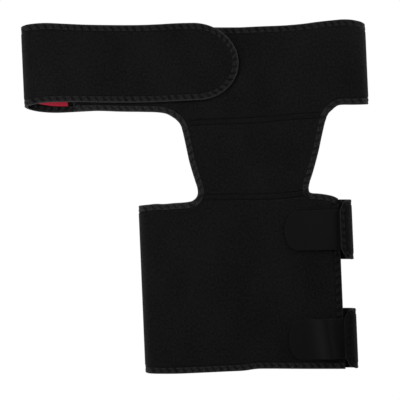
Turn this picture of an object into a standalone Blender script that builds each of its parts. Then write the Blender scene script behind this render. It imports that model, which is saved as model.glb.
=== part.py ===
# Hip brace with a thigh compression sleeve, laid flat: a waist belt closed to a flattened loop,
# a hip panel hanging from its front, and a thigh wrap whose two tongues fold round to hook tabs.
# Metres, +Z up, lying on Z = 0. +X runs along the belt, +Y from the thigh up to the waist.
# Every fabric panel is cut flat as a pattern, thinned where tape or a seam covers its edge,
# creased at the stations of its fold path and then bent along that path.

import math

import bmesh
import bpy
from mathutils import Vector
from mathutils.geometry import intersect_line_line_2d

# Fabric, tape and clearances
WALL = 0.004  # neoprene with a knitted face on both sides
GAP = 0.0003  # clearance between touching pieces
TAPE_THICK = 0.0007
TAPE_FACE = 0.0075  # of the edge binding on the belt, the hip panel and the thigh wrap
TONGUE_TAPE_FACE = 0.0055
TAPE_SINK = 0.0001  # the tape lies this much below the face of the panel
TAPE_SHOULDER = 0.7  # where its rounded edge starts, as a share of its thickness
TAPE_NOSE_FLAT = 0.45  # height of its outermost face, as a share of the whole
STEP_WIDTH = 0.0008  # the foam swells back to its full wall over this width
SEAM_FLANGE = 0.0028  # squeezed foam on each side of a seam
SEAM_WEB = 0.0006  # thread between the two panels of a seam
SEAM_END_GAP = 0.0012  # from the end of a seam to the tape that covers its last stitches

# Waist belt
BELT_WIDTH = 0.4308  # between the outer faces of its two folds
BELT_HEIGHT = 0.100
BELT_LEAN = 0.045  # the strip's cross lines lean by this slope
LOOP_GAP = 0.006  # free height between the rear layer and the front layer
LEFT_FOLD_RADIUS = 0.0095  # of the middle of the wall
RIGHT_FOLD_RADIUS = 0.008
FOLD_RUN = 0.034  # over which a layer comes down from a fold
OVERLAP_RUN = 0.088
BELT_INNER_END = 0.0615  # from the left fold to the covered end of the belt
ROUND_END_START = 0.2155  # from the left fold to where the overlap starts to round off
ROUND_END_LENGTH = 0.0548

# Hip panel
HIP_OFFSET = 0.0741  # its centre, from the middle of the belt
HIP_TOP_WIDTH = 0.1838
HIP_LENGTH = 0.0956  # from seam to seam on its centre line
HIP_SAG = 0.003

# Thigh wrap
THIGH_OFFSET = 0.0589  # its centre, from the middle of the belt
THIGH_WIDTH = 0.2504  # from the outer face of its fold to its ends
THIGH_HEIGHT = 0.210
THIGH_LEAN = 0.042
THIGH_FOLD_RADIUS = 0.0075

# Tongues and hook tabs
TONGUE_HEIGHT = 0.075
TONGUE_REACH = 0.0165  # beyond the ends of the thigh wrap
TONGUE_INSET = 0.001  # from the corner of the thigh wrap
TONGUE_END_RADIUS = 0.008
TONGUE_CORNER_DROP = 0.25  # of the corner where its end starts to narrow, as a share of the radius
TONGUE_TIP_REACH = 0.6  # of the rounding of its tip along each side, as a share of the radius
TAB_WIDTH = 0.050
TAB_LENGTH = 0.069  # that shows beyond the tongue
TAB_UNDER = 0.005  # sewn under the tongue
TAB_THICK = 0.0016
TAB_ROUND = 0.0165  # length of its rounded end
TAB_RISE = 0.033  # slope of its middle line

# Hook patch and label
HOOK_THICK = 0.0016
HOOK_LENGTH = 0.110
HOOK_MARGIN = 0.012  # inside the edge of the overlap
LABEL_LENGTH = 0.037
LABEL_HEIGHT = 0.016
LABEL_THICK = 0.0005
LABEL_START = 0.0195  # from the left fold
LABEL_FOOT = -0.512  # its lower edge, from the belt's middle line, as a share of the belt's height

# Fineness of the facets
HALF_TURN_FACETS = 8
RAMP_FACETS = 5
ROUND_END_FACETS = 18
TAB_END_FACETS = 14
HIP_FACETS = 8
TONGUE_TIP_FACETS = 4
RIM_FACETS = 6  # across the squeezed rim between the tongues
EDGE_SPACING = 0.006
EDGE_TOLERANCE = 0.00012  # an outline point is dropped if the outline moves by less
STATION_TOLERANCE = 1e-6
STRAIGHT_TURN = 0.02  # sine of the angle under which an outline point counts as straight

# Heights of the layers
SQUEEZED = WALL - 2 * (TAPE_THICK + GAP + TAPE_SINK)
REAR_Z = WALL / 2
FRONT_Z = REAR_Z + WALL + LOOP_GAP
OVERLAP_Z = FRONT_Z + WALL + HOOK_THICK + 2 * GAP
TAB_Z = FRONT_Z + WALL / 2 + GAP + TAB_THICK / 2
TONGUE_Z = TAB_Z + TAB_THICK / 2 + GAP + WALL / 2
SEAM_HALF_GAP = SEAM_WEB / 2 + GAP
TAPE_NOSE = GAP + TAPE_THICK
TAPE_WIDTH = TAPE_FACE - TAPE_THICK + GAP  # squeezed rim of a panel under its tape
TONGUE_TAPE_WIDTH = TONGUE_TAPE_FACE - TAPE_THICK + GAP

# Shares that place the belt, the hip panel and the thigh wrap along Y
BELT_PEAK = 0.569  # highest point of the belt, from its middle line
BELT_SEAM_DROP = 0.690  # seam on the centre line of the hip panel
THIGH_SEAM_RISE = 0.537
THIGH_FOOT = 0.517

OVERALL_HEIGHT = (BELT_PEAK + BELT_SEAM_DROP) * BELT_HEIGHT + HIP_LENGTH
OVERALL_HEIGHT += (THIGH_SEAM_RISE + THIGH_FOOT) * THIGH_HEIGHT
BELT_Y = OVERALL_HEIGHT / 2 - BELT_PEAK * BELT_HEIGHT
THIGH_Y = THIGH_FOOT * THIGH_HEIGHT - OVERALL_HEIGHT / 2
THIGH_END_X = THIGH_OFFSET + THIGH_WIDTH / 2
HIP_HALF_WIDTH = HIP_TOP_WIDTH / 2

# Edges of the belt. Columns: share of the way along the layer, height above the belt's middle
# line as a share of the belt's height. A layer runs from fold to fold, or from an end to a fold.
FRONT_TOP = (
    (0.00, 0.438),
    (0.23, 0.444),
    (0.44, 0.456),
    (0.56, 0.470),
    (0.64, 0.484),
    (0.72, 0.496),
    (0.78, 0.515),
    (0.83, 0.540),
    (0.88, 0.560),
    (0.915, 0.569),
    (0.945, 0.563),
    (0.975, 0.540),
)
RIGHT_FOLD_TOP = 0.510
REAR_TOP = (
    (0.04, 0.490),
    (0.18, 0.492),
    (0.36, 0.480),
    (0.50, 0.480),
    (0.70, 0.475),
    (0.94, 0.470),
)
LEFT_FOLD_TOP = 0.475
OVERLAP_TOP = (
    (0.07, 0.504),
    (0.15, 0.519),
    (0.27, 0.510),
    (0.38, 0.500),
    (0.52, 0.495),
    (0.69, 0.495),
    (0.80, 0.504),
    (0.90, 0.517),
    (1.00, 0.523),
)
RIGHT_FOLD_BOTTOM = -0.492
REAR_BOTTOM = (
    (0.04, -0.482),
    (0.20, -0.488),
    (0.48, -0.512),
    (0.70, -0.548),
    (0.83, -0.580),
    (0.90, -0.594),
    (0.93, -0.590),
    (0.96, -0.575),
)
LEFT_FOLD_BOTTOM = -0.532
OVERLAP_BOTTOM = (
    (0.06, -0.506),
    (0.12, -0.480),
    (0.21, -0.468),
    (0.30, -0.466),
    (0.46, -0.471),
    (0.63, -0.473),
    (0.80, -0.464),
    (0.91, -0.452),
    (1.00, -0.443),
)

# Front lower edge of the belt beside the hip panel. Columns: share of the way from the covered
# end, or from the seam's right corner to the right fold, and height as above.
LEFT_OF_HIP = (
    (0.00, -0.586),
    (0.22, -0.575),
    (0.44, -0.584),
    (0.66, -0.588),
    (0.79, -0.594),
    (0.866, -0.611),
    (0.92, -0.648),
    (0.963, -0.690),
)
RIGHT_OF_HIP = (
    (0.061, -0.585),
    (0.122, -0.556),
    (0.183, -0.528),
    (0.256, -0.506),
    (0.354, -0.499),
    (0.60, -0.500),
    (0.80, -0.499),
)

# Seam between the belt and the hip panel. Columns: share of the hip panel's half width from its
# centre, height as a share of the belt's height.
BELT_SEAM = (
    (-1.00, -0.750),
    (-0.75, -0.716),
    (-0.40, -0.704),
    (-0.10, -0.697),
    (0.20, -0.676),
    (0.50, -0.650),
    (0.80, -0.634),
    (1.00, -0.619),
)

# Seam between the hip panel and the thigh wrap. Columns: share of the hip panel's top half width
# from its centre, height above the thigh wrap's middle line as a share of its height.
THIGH_SEAM = (
    (-0.785, 0.532),
    (-0.45, 0.535),
    (-0.05, 0.537),
    (0.35, 0.540),
    (0.759, 0.563),
)

# Sides of the hip panel. Columns: share of the way down the side, distance from the centre as a
# share of the top half width.
HIP_LEFT = (
    (0.07, 0.977),
    (0.18, 0.951),
    (0.344, 0.916),
    (0.51, 0.880),
    (0.675, 0.832),
    (0.785, 0.798),
    (0.868, 0.772),
    (0.945, 0.766),
)
HIP_RIGHT = (
    (0.045, 0.984),
    (0.10, 0.965),
    (0.20, 0.940),
    (0.30, 0.917),
    (0.456, 0.883),
    (0.61, 0.842),
    (0.764, 0.795),
    (0.867, 0.759),
    (0.95, 0.744),
)

# Upper edge of the thigh wrap beside the hip panel. Columns: share of the way from the seam's
# corner to the fold or the end, height as a share of the thigh wrap's height.
THIGH_LEFT_TOP = (
    (0.035, 0.522),
    (0.08, 0.512),
    (0.15, 0.507),
    (0.26, 0.503),
    (0.46, 0.499),
    (0.64, 0.494),
    (0.80, 0.495),
    (0.92, 0.491),
)
THIGH_FOLD_TOP = 0.484
THIGH_RIGHT_TOP = (
    (0.07, 0.559),
    (0.32, 0.556),
    (0.58, 0.550),
    (0.83, 0.540),
)
THIGH_END_TOP = 0.526

# Hidden rear upper edge, and the lower edge seen in front and behind. Columns: share of the way
# from the fold to the end, height as a share of the thigh wrap's height.
THIGH_REAR_TOP = ((0.10, 0.482), (0.50, 0.505), (0.80, 0.518))
THIGH_FOLD_BOTTOM = -0.510
THIGH_FRONT_BOTTOM = (
    (0.03, -0.5135),
    (0.09, -0.516),
    (0.17, -0.5168),
    (0.25, -0.513),
    (0.41, -0.504),
    (0.50, -0.4985),
    (0.56, -0.4885),
    (0.62, -0.487),
    (0.80, -0.488),
)
THIGH_REAR_BOTTOM = ((0.10, -0.508), (0.40, -0.498), (0.60, -0.485), (0.80, -0.483))
THIGH_END_BOTTOM = -0.488


def sized(rows, start, end, middle, height):
    """Points of an edge from its table of shares."""
    return [(start + share * (end - start), middle + rise * height) for share, rise in rows]


def smooth(points, spacing=EDGE_SPACING):
    """A centripetal Catmull-Rom curve through the points, which keep their places in it."""
    points = [Vector(p) for p in points]
    ends = [2 * points[0] - points[1], *points, 2 * points[-1] - points[-2]]
    curve = [points[0]]
    for before, a, b, after in zip(ends, ends[1:], ends[2:], ends[3:]):
        knots = [0.0]
        for p, q in ((before, a), (a, b), (b, after)):
            knots.append(knots[-1] + max((q - p).length, 1e-9) ** 0.5)
        count = max(1, round((b - a).length / spacing))
        for step in range(1, count + 1):
            t = knots[1] + (knots[2] - knots[1]) * step / count
            curve.append(barry_goldman((before, a, b, after), knots, t))
    return curve


def barry_goldman(points, knots, t):
    """The point of a centripetal Catmull-Rom span at the knot value t."""
    level = points
    for depth in (1, 2):
        level = [
            level[i].lerp(level[i + 1], (t - knots[i]) / (knots[i + depth] - knots[i]))
            for i in range(len(level) - 1)
        ]
    return level[0].lerp(level[1], (t - knots[1]) / (knots[2] - knots[1]))


def thinned(points, tolerance=EDGE_TOLERANCE):
    """The same line without the points that it can spare. Its two ends stay."""
    if len(points) < 3:
        return list(points)
    first, last = points[0], points[-1]
    along = (last - first).normalized()
    worst, index = 0.0, 0
    for i, point in enumerate(points[1:-1], 1):
        away = (point - first) - along * (point - first).dot(along)
        if away.length > worst:
            worst, index = away.length, i
    if worst <= tolerance:
        return [first, last]
    return thinned(points[: index + 1], tolerance)[:-1] + thinned(points[index:], tolerance)


class FoldPath:
    """The way a strip of fabric runs, seen along Y: stations joined by flat facets."""

    def __init__(self, stations, lean, middle_y):
        self.points = [Vector(p) for p in stations]
        self.lean = lean
        self.middle_y = middle_y
        self.lengths = [0.0]
        for a, b in zip(self.points, self.points[1:]):
            self.lengths.append(self.lengths[-1] + (b - a).length)
        self.total = self.lengths[-1]

    def facet(self, length):
        """Index of the facet at this length, and how far along it."""
        for i in range(len(self.points) - 1):
            if length <= self.lengths[i + 1] or i == len(self.points) - 2:
                span = self.lengths[i + 1] - self.lengths[i]
                return i, (length - self.lengths[i]) / span

    def facet_normal(self, index):
        along = (self.points[index + 1] - self.points[index]).normalized()
        return Vector((-along.y, along.x))

    def normal(self, length):
        """Unit normal on a facet, or the mitre between two facets at a station."""
        index, share = self.facet(length)
        here = self.facet_normal(index)
        for station in range(1, len(self.points) - 1):
            if abs(length - self.lengths[station]) < STATION_TOLERANCE:
                before, after = self.facet_normal(station - 1), self.facet_normal(station)
                return (before + after) / (1 + before.dot(after))
        return here

    def place(self, length, y, height=0.0):
        """The pattern's point (length, y), bent, and raised by height off the middle of the wall."""
        index, share = self.facet(length)
        spot = self.points[index].lerp(self.points[index + 1], share)
        spot = spot + self.normal(length) * height
        return Vector((spot.x + self.lean * (self.middle_y - y), y, spot.y))

    def length_at(self, x, low, high):
        """The length between low and high at which the path passes x."""
        for i in range(len(self.points) - 1):
            start, end = self.lengths[i], self.lengths[i + 1]
            if end < low - STATION_TOLERANCE or start > high + STATION_TOLERANCE:
                continue
            a, b = self.points[i].x, self.points[i + 1].x
            if min(a, b) - 1e-9 <= x <= max(a, b) + 1e-9 and abs(b - a) > 1e-9:
                return start + (end - start) * (x - a) / (b - a)
        ends = (low, high)
        return min(ends, key=lambda length: abs(x - self.place(length, self.middle_y).x))

    def flat(self, point, low, high):
        """Pattern coordinates of the world point (x, y) on the layer between low and high."""
        x = point[0] - self.lean * (self.middle_y - point[1])
        return Vector((self.length_at(x, low, high), point[1]))


def ramp(start, end):
    """Stations of an eased slope between two levels, without its first one."""
    found = []
    for step in range(1, RAMP_FACETS + 1):
        share = step / RAMP_FACETS
        eased = (1 - math.cos(math.pi * share)) / 2
        found.append((start[0] + (end[0] - start[0]) * share, start[1] + (end[1] - start[1]) * eased))
    return found


def half_turn(centre, radius, start_angle, turn):
    """Stations of a round fold, without its first one. Angles are in degrees."""
    found = []
    for step in range(1, HALF_TURN_FACETS + 1):
        angle = math.radians(start_angle + turn * step / HALF_TURN_FACETS)
        found.append((centre[0] + radius * math.cos(angle), centre[1] + radius * math.sin(angle)))
    return found


def belt_path():
    """From the covered end along the front, round the right fold, along the rear, round the left
    fold and over the front again to the tip."""
    reach = BELT_WIDTH / 2 - WALL / 2
    right, left = RIGHT_FOLD_RADIUS, LEFT_FOLD_RADIUS
    fold_x = reach - right
    back_x = left - reach
    stations = [(BELT_INNER_END - BELT_WIDTH / 2, FRONT_Z), (fold_x - FOLD_RUN, FRONT_Z)]
    stations += ramp(stations[-1], (fold_x, REAR_Z + 2 * right))
    stations += half_turn((fold_x, REAR_Z + right), right, 90, -180)
    stations.append((back_x, REAR_Z))
    stations += half_turn((back_x, REAR_Z + left), left, -90, -180)
    stations += ramp(stations[-1], (back_x + OVERLAP_RUN, OVERLAP_Z))
    stations.append((ROUND_END_START + ROUND_END_LENGTH - BELT_WIDTH / 2, OVERLAP_Z))
    return FoldPath(stations, BELT_LEAN, BELT_Y)


def thigh_path():
    """From the rear end along the rear, round the fold and along the front to its end."""
    radius = THIGH_FOLD_RADIUS
    back_x = THIGH_OFFSET - THIGH_WIDTH / 2 + WALL / 2 + radius
    stations = [(THIGH_END_X, REAR_Z), (back_x, REAR_Z)]
    stations += half_turn((back_x, REAR_Z + radius), radius, -90, -180)
    stations += ramp(stations[-1], (back_x + FOLD_RUN, FRONT_Z))
    stations.append((THIGH_END_X, FRONT_Z))
    return FoldPath(stations, THIGH_LEAN, THIGH_Y)


def tongue_path():
    """From the rear end of the thigh wrap round to the front, above the hook tab."""
    radius = (TONGUE_Z - REAR_Z) / 2
    centre_x = THIGH_END_X + TONGUE_REACH - WALL / 2 - radius
    stations = [(THIGH_END_X + 2 * SEAM_HALF_GAP, REAR_Z), (centre_x, REAR_Z)]
    stations += half_turn((centre_x, REAR_Z + radius), radius, -90, 180)
    stations.append((THIGH_END_X + tongue_front(), TONGUE_Z))
    return FoldPath(stations, THIGH_LEAN, THIGH_Y)


def tongue_front():
    """How far right of the thigh wrap's end the front end of a tongue lies."""
    return TONGUE_REACH - WALL - (TONGUE_Z - REAR_Z) / 2 - TONGUE_END_RADIUS / 2


def fold_middle(path, x_sign, after=0.0):
    """Length at which the path is furthest to the side of x_sign, past the length after."""
    spots = [(x_sign * p.x, length) for p, length in zip(path.points, path.lengths) if length > after]
    return max(spots)[1]


def hip_stations():
    """Creases of the sagging hip panel: their heights along Y and above the surface."""
    top = BELT_Y + BELT_SEAM[0][1] * BELT_HEIGHT
    bottom = THIGH_Y + THIGH_SEAM[-1][1] * THIGH_HEIGHT
    found = []
    for step in range(HIP_FACETS + 1):
        share = step / HIP_FACETS
        sag = HIP_SAG * math.sin(math.pi * share) ** 2
        found.append((bottom + (top - bottom) * share, FRONT_Z - sag))
    return found


def hip_place(x, y, height=0.0):
    """The hip panel's pattern lies where it is seen from above. It only sags."""
    spots = hip_stations()
    if y <= spots[0][0] or y >= spots[-1][0]:
        return Vector((x, y, FRONT_Z + height))
    slopes = [(b[1] - a[1]) / (b[0] - a[0]) for a, b in zip(spots, spots[1:])]
    index = max(i for i, spot in enumerate(spots) if spot[0] <= y)
    level = spots[index][1] + slopes[index] * (y - spots[index][0])
    normal = Vector((0, -slopes[index], 1)).normalized()
    for i in range(1, len(slopes)):
        if abs(y - spots[i][0]) < STATION_TOLERANCE:
            before = Vector((0, -slopes[i - 1], 1)).normalized()
            after = Vector((0, -slopes[i], 1)).normalized()
            normal = (before + after) / (1 + before.dot(after))
    return Vector((x, y, level)) + normal * height


def side_points(rows, sign, top, bottom):
    """World points down one side of the hip panel."""
    return [
        (HIP_OFFSET + sign * out * HIP_HALF_WIDTH, top[1] + down * (bottom[1] - top[1]))
        for down, out in rows
    ]


def seam_points(rows, middle_y, height):
    return [(HIP_OFFSET + share * HIP_HALF_WIDTH, middle_y + rise * height) for share, rise in rows]


def split_smooth(runs):
    """One smooth curve through several runs of points. Returns each run's stretch of it: a run
    starts at the last point of the run before."""
    whole = smooth([p for run in runs for p in run])
    places, start, found = [], 0, []
    for run in runs:
        target = Vector(run[-1])
        start = min(range(start, len(whole)), key=lambda i: (whole[i] - target).length)
        places.append(start)
    low = 0
    for high in places:
        found.append(thinned(whole[low : high + 1]))
        low = high
    return found


def shortened(line, amount, at_start):
    """The line with its first or last point moved along it by the amount."""
    line = list(line)
    if at_start:
        line.reverse()
    line[-1] = line[-1] + (line[-2] - line[-1]).normalized() * amount
    if at_start:
        line.reverse()
    return line


def shifted(line, offset_y):
    return [point + Vector((0, offset_y)) for point in line]


def inset(points, widths):
    """The closed outline moved inwards. widths holds one width for each edge, point i to i + 1."""
    found = []
    for i, here in enumerate(points):
        before, after = points[i - 1], points[(i + 1) % len(points)]
        first, second = (here - before).normalized(), (after - here).normalized()
        a, b = Vector((-first.y, first.x)), Vector((-second.y, second.x))
        turn = a.x * b.y - a.y * b.x
        wide, next_wide = widths[i - 1], widths[i]
        if abs(turn) < STRAIGHT_TURN:
            move = (a + b).normalized() * (wide + next_wide) / 2
        else:
            move = Vector((wide * b.y - next_wide * a.y, next_wide * a.x - wide * b.x)) / turn
        found.append(here + move)
    return found


def loft(name, stretches):
    """A closed solid through rings of points, capped at the first and the last ring. A stretch of
    rings lies in one flat pattern. It is creased at its stations, then bent by its place."""
    work = bmesh.new()
    made, parts = [], []
    for rings, place, stations, axis in stretches:
        new = [[work.verts.new(point) for point in ring] for ring in rings]
        faces = bridged(work, new)
        if made:
            bridged(work, [made[-1], new[0]])
        else:
            faces.append(work.faces.new(list(reversed(new[0]))))
        made += new
        parts.append((faces, place, stations, axis))
    parts[-1][0].append(work.faces.new(made[-1]))
    for faces, place, stations, axis in parts:
        bend(work, faces, place, stations, axis)
    if work.calc_volume(signed=True) < 0:
        bmesh.ops.reverse_faces(work, faces=work.faces)
    mesh = bpy.data.meshes.new(name)
    work.to_mesh(mesh)
    work.free()
    shape = bpy.data.objects.new(name, mesh)
    bpy.data.collections[COLLECTION].objects.link(shape)
    return shape


def bridged(work, rings):
    """The faces between each ring and the next."""
    faces = []
    for lower, upper in zip(rings, rings[1:]):
        for i in range(len(lower)):
            j = (i + 1) % len(lower)
            faces.append(work.faces.new((lower[i], lower[j], upper[j], upper[i])))
    return faces


def bend(work, faces, place, stations, axis):
    """Creases the faces of a flat pattern at the stations and bends them."""
    side = Vector((1, 0, 0)) if axis == 0 else Vector((0, 1, 0))
    geometry = set(faces)
    for face in faces:
        geometry.update(face.edges[:] + face.verts[:])
    geometry = list(geometry)
    for station in stations:
        found = bmesh.ops.bisect_plane(
            work, geom=geometry, dist=STATION_TOLERANCE, plane_co=side * station, plane_no=side
        )
        geometry = found["geom"]
    for vertex in {item for item in geometry if isinstance(item, bmesh.types.BMVert)}:
        vertex.co = place(vertex.co.x, vertex.co.y, vertex.co.z)


def closed_outline(edges):
    """Points of the closed outline of (line, width) pairs, and the width at each edge."""
    outline, widths = [], []
    for line, width in edges:
        outline += line[:-1]
        widths += [width] * (len(line) - 1)
    return outline, widths


def within_tape(edges, tapes):
    """The outline of a panel that lies inside the tape on its bound edges. edges holds (line,
    width) pairs. Only an edge of a tape's width is bound. tapes holds, for the row of a seam,
    the directions of the tapes at its first and last point, which both of its panels share."""
    outline, widths = closed_outline(edges)
    bound = (TAPE_WIDTH, TONGUE_TAPE_WIDTH)
    moved = inset(outline, [TAPE_NOSE if width in bound else 0.0 for width in widths])
    spans, start = [], 0
    for line, _ in edges:
        spans.append((start, start + len(line) - 1))
        start = spans[-1][1]
    for row, (first_tape, last_tape) in tapes.items():
        start, stop = spans[row]
        for corner, inner, tape in ((start, start + 1, first_tape), (stop, stop - 1, last_tape)):
            here, inner = outline[corner % len(outline)], outline[inner]
            heading = (inner - here).normalized()
            moved[corner % len(outline)] = here + heading * TAPE_NOSE / abs(heading.cross(tape))
    moved.append(moved[0])
    return [(moved[a : b + 1], width) for (a, b), (_, width) in zip(spans, edges)]


def pattern_piece(name, edges, place, stations, axis, material):
    """A fabric panel. edges is its outline, anticlockwise, as (line, width) pairs: each line
    starts where the one before ends, and width is how far in from it the foam is squeezed."""
    outline, widths = closed_outline(edges)
    squeezed = inset(outline, widths)
    full = inset(outline, [width + STEP_WIDTH for width in widths])
    thin, thick = SQUEEZED / 2, WALL / 2
    rings = []
    for line, height in ((full, -thick), (squeezed, -thin), (outline, -thin)):
        rings.append([(p.x, p.y, height) for p in line])
    for line, height in ((outline, thin), (squeezed, thin), (full, thick)):
        rings.append([(p.x, p.y, height) for p in line])
    finish(loft(name, [(rings, place, stations, axis)]), material)


def slab(name, outline, thick, place, material):
    """A flat sheet of one thickness, cut to an outline."""
    rings = [[(p.x, p.y, height) for p in outline] for height in (-thick / 2, thick / 2)]
    finish(loft(name, [(rings, place, (), 0)]), material)


def mitres(parts):
    """For each part of a line, the mitred left normal at each of its points. A part is (line,
    place, stations, axis), and each part goes on where the one before ends."""
    spots = [(index, p) for index, part in enumerate(parts) for p in part[0]]
    headings = []
    for (first, a), (second, b) in zip(spots, spots[1:]):
        if first != second:
            a, b = parts[first][1](a.x, a.y), parts[second][1](b.x, b.y)
        headings.append(Vector((b.x - a.x, b.y - a.y)).normalized())
    headings = [headings[0], *headings, headings[-1]]
    found = [[] for _ in parts]
    for (index, _), before, after in zip(spots, headings, headings[1:]):
        a, b = Vector((-before.y, before.x)), Vector((-after.y, after.x))
        found[index].append((a + b) / (1 + a.dot(b)))
    return found


def swept(name, parts, profile, material, skews=(None, None)):
    """A solid of one profile along a line of parts. The profile's columns: distance to the left
    of the line, height. skews holds the directions in which its two ends are cut."""
    normals = mitres(parts)
    for index, skew in zip((0, -1), skews):
        if skew:
            normals[index][index] = skew / skew.dot(normals[index][index])
    stretches = []
    for (line, place, stations, axis), sides in zip(parts, normals):
        rings = [
            [(p.x + n.x * u, p.y + n.y * u, v) for u, v in profile] for p, n in zip(line, sides)
        ]
        stretches.append((rings, place, stations, axis))
    finish(loft(name, stretches), material)


def binding(name, parts, width, panel_side):
    """Edge tape folded over the squeezed rim of a panel: a U-shaped profile along its edge.
    panel_side is 1 if the panel lies to the left of the line, or -1."""
    slot, face = SQUEEZED / 2 + GAP, SQUEEZED / 2 + GAP + TAPE_THICK
    inner = width - 2 * GAP
    shoulder = TAPE_THICK * TAPE_SHOULDER - TAPE_NOSE
    profile = [
        (inner, slot),
        (-GAP, slot),
        (-GAP, -slot),
        (inner, -slot),
        (inner, -face),
        (shoulder, -face),
        (-TAPE_NOSE, -face * TAPE_NOSE_FLAT),
        (-TAPE_NOSE, face * TAPE_NOSE_FLAT),
        (shoulder, face),
        (inner, face),
    ]
    swept(name, parts, [(u * panel_side, v) for u, v in profile], "binding_tape")


def seam(name, line, place, skews):
    """Flat seam: a web of thread between two panels and a band on each face over their rims.
    skews holds the directions in which its two ends are cut."""
    slot, face = SQUEEZED / 2 + GAP, SQUEEZED / 2 + GAP + TAPE_THICK
    web, band = SEAM_WEB / 2, SEAM_HALF_GAP + SEAM_FLANGE - GAP
    profile = [(web, -slot), (band, -slot), (band, -face), (-band, -face), (-band, -slot)]
    profile += [(-web, -slot), (-web, slot), (-band, slot), (-band, face), (band, face)]
    profile += [(band, slot), (web, slot)]
    swept(name, [(line, place, (), 0)], profile, "seam_thread", skews)


def between_tapes(line, sides):
    """The stretch of a seam that the tapes of the two sides leave free, and the directions of
    those tapes where they cover its ends. sides holds (silhouette line, panel side) pairs."""
    cuts = []
    for side, panel_side in sides:
        normals = mitres([(side, None, (), 0)])[0]
        reach = panel_side * (TAPE_FACE + SEAM_END_GAP)
        rim = [p + n * reach for p, n in zip(side, normals)]
        for a, b in zip(rim, rim[1:]):
            for index, (c, d) in enumerate(zip(line, line[1:])):
                hit = intersect_line_line_2d(a, b, c, d)
                if hit:
                    cuts.append((index, hit, (b - a).normalized()))
    (first, start, first_skew), (last, stop, last_skew) = cuts[0], cuts[-1]
    return [start, *line[first + 1 : last + 1], stop], (first_skew, last_skew)


# Materials: base colour, roughness
MATERIALS = {
    "neoprene_knit": ((0.010, 0.010, 0.011), 0.85),
    "binding_tape": ((0.020, 0.020, 0.021), 0.70),
    "seam_thread": ((0.022, 0.022, 0.023), 0.65),
    "hook_tape": ((0.008, 0.008, 0.009), 0.35),
    "label_satin": ((0.42, 0.02, 0.045), 0.45),
}
COLLECTION = "hip_brace"


def make_material(name):
    colour, rough = MATERIALS[name]
    made = bpy.data.materials.new(name)
    made.use_nodes = True
    shader = made.node_tree.nodes["Principled BSDF"]
    shader.inputs["Base Color"].default_value = (*colour, 1)
    shader.inputs["Roughness"].default_value = rough
    shader.inputs["Metallic"].default_value = 0.0


def finish(shape, material):
    shape.data.materials.append(bpy.data.materials[material])


class Brace:
    """The lines that several pieces share, in world coordinates."""

    def __init__(self):
        self.belt = belt_path()
        self.thigh = thigh_path()
        self.belt_seam = thinned(smooth(seam_points(BELT_SEAM, BELT_Y, BELT_HEIGHT)))
        self.thigh_seam = thinned(smooth(seam_points(THIGH_SEAM, THIGH_Y, THIGH_HEIGHT)))
        self.right_fold = fold_middle(self.belt, 1)
        self.left_fold = fold_middle(self.belt, -1, self.right_fold)
        self.round_start = self.belt.length_at(
            ROUND_END_START - BELT_WIDTH / 2, self.left_fold, self.belt.total
        )
        self.thigh_fold = fold_middle(self.thigh, -1)
        self.trace_left_side()
        self.trace_right_side()

    def trace_left_side(self):
        """Belt's covered end, hip panel's left side, thigh wrap's fold."""
        top, bottom = self.belt_seam[0], self.thigh_seam[0]
        start_x = BELT_INNER_END - BELT_WIDTH / 2 - BELT_LEAN * LEFT_OF_HIP[0][1] * BELT_HEIGHT
        fold_x = THIGH_OFFSET - THIGH_WIDTH / 2 + WALL / 2 + THIGH_FOLD_RADIUS
        fold_x -= THIGH_LEAN * THIGH_HEIGHT / 2
        belt = sized(LEFT_OF_HIP, start_x, top.x, BELT_Y, BELT_HEIGHT) + [tuple(top)]
        hip = side_points(HIP_LEFT, -1, top, bottom) + [tuple(bottom)]
        thigh = sized(THIGH_LEFT_TOP, bottom.x, fold_x, THIGH_Y, THIGH_HEIGHT)
        self.left_side = split_smooth((belt, hip, thigh))

    def trace_right_side(self):
        """Belt's right fold, hip panel's right side, thigh wrap's front end."""
        top, bottom = self.belt_seam[-1], self.thigh_seam[-1]
        fold_x = BELT_WIDTH / 2 - BELT_LEAN * RIGHT_FOLD_BOTTOM * BELT_HEIGHT
        end_x = THIGH_END_X - THIGH_LEAN * THIGH_END_TOP * THIGH_HEIGHT
        belt = sized(RIGHT_OF_HIP, top.x, fold_x, BELT_Y, BELT_HEIGHT)
        belt.reverse()
        hip = side_points(HIP_RIGHT, 1, top, bottom) + [tuple(bottom)]
        thigh = sized(THIGH_RIGHT_TOP, bottom.x, end_x, THIGH_Y, THIGH_HEIGHT)
        thigh.append((end_x, THIGH_Y + THIGH_END_TOP * THIGH_HEIGHT))
        self.right_side = split_smooth((belt + [tuple(top)], hip, thigh))

    def on_belt_front(self, line):
        return [self.belt.flat(p, 0.0, self.right_fold) for p in line]

    def on_thigh_front(self, line):
        return [self.thigh.flat(p, self.thigh_fold, self.thigh.total) for p in line]

    def tape_headings(self, seam_row):
        """Directions of the left and the right tape where they run over a seam: 0 for the belt's
        seam, 1 for the thigh wrap's."""
        return [
            (side[seam_row + 1][1] - side[seam_row][-2]).normalized()
            for side in (self.left_side, self.right_side)
        ]

    def make_seams(self):
        sides = []
        for runs, panel_side in ((self.left_side, 1), (self.right_side, -1)):
            sides.append((runs[0][:-1] + runs[1][:-1] + runs[2], panel_side))
        for name, line in (("belt_seam", self.belt_seam), ("thigh_seam", self.thigh_seam)):
            free, skews = between_tapes(line, sides)
            seam(name, free, hip_place, skews)


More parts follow.
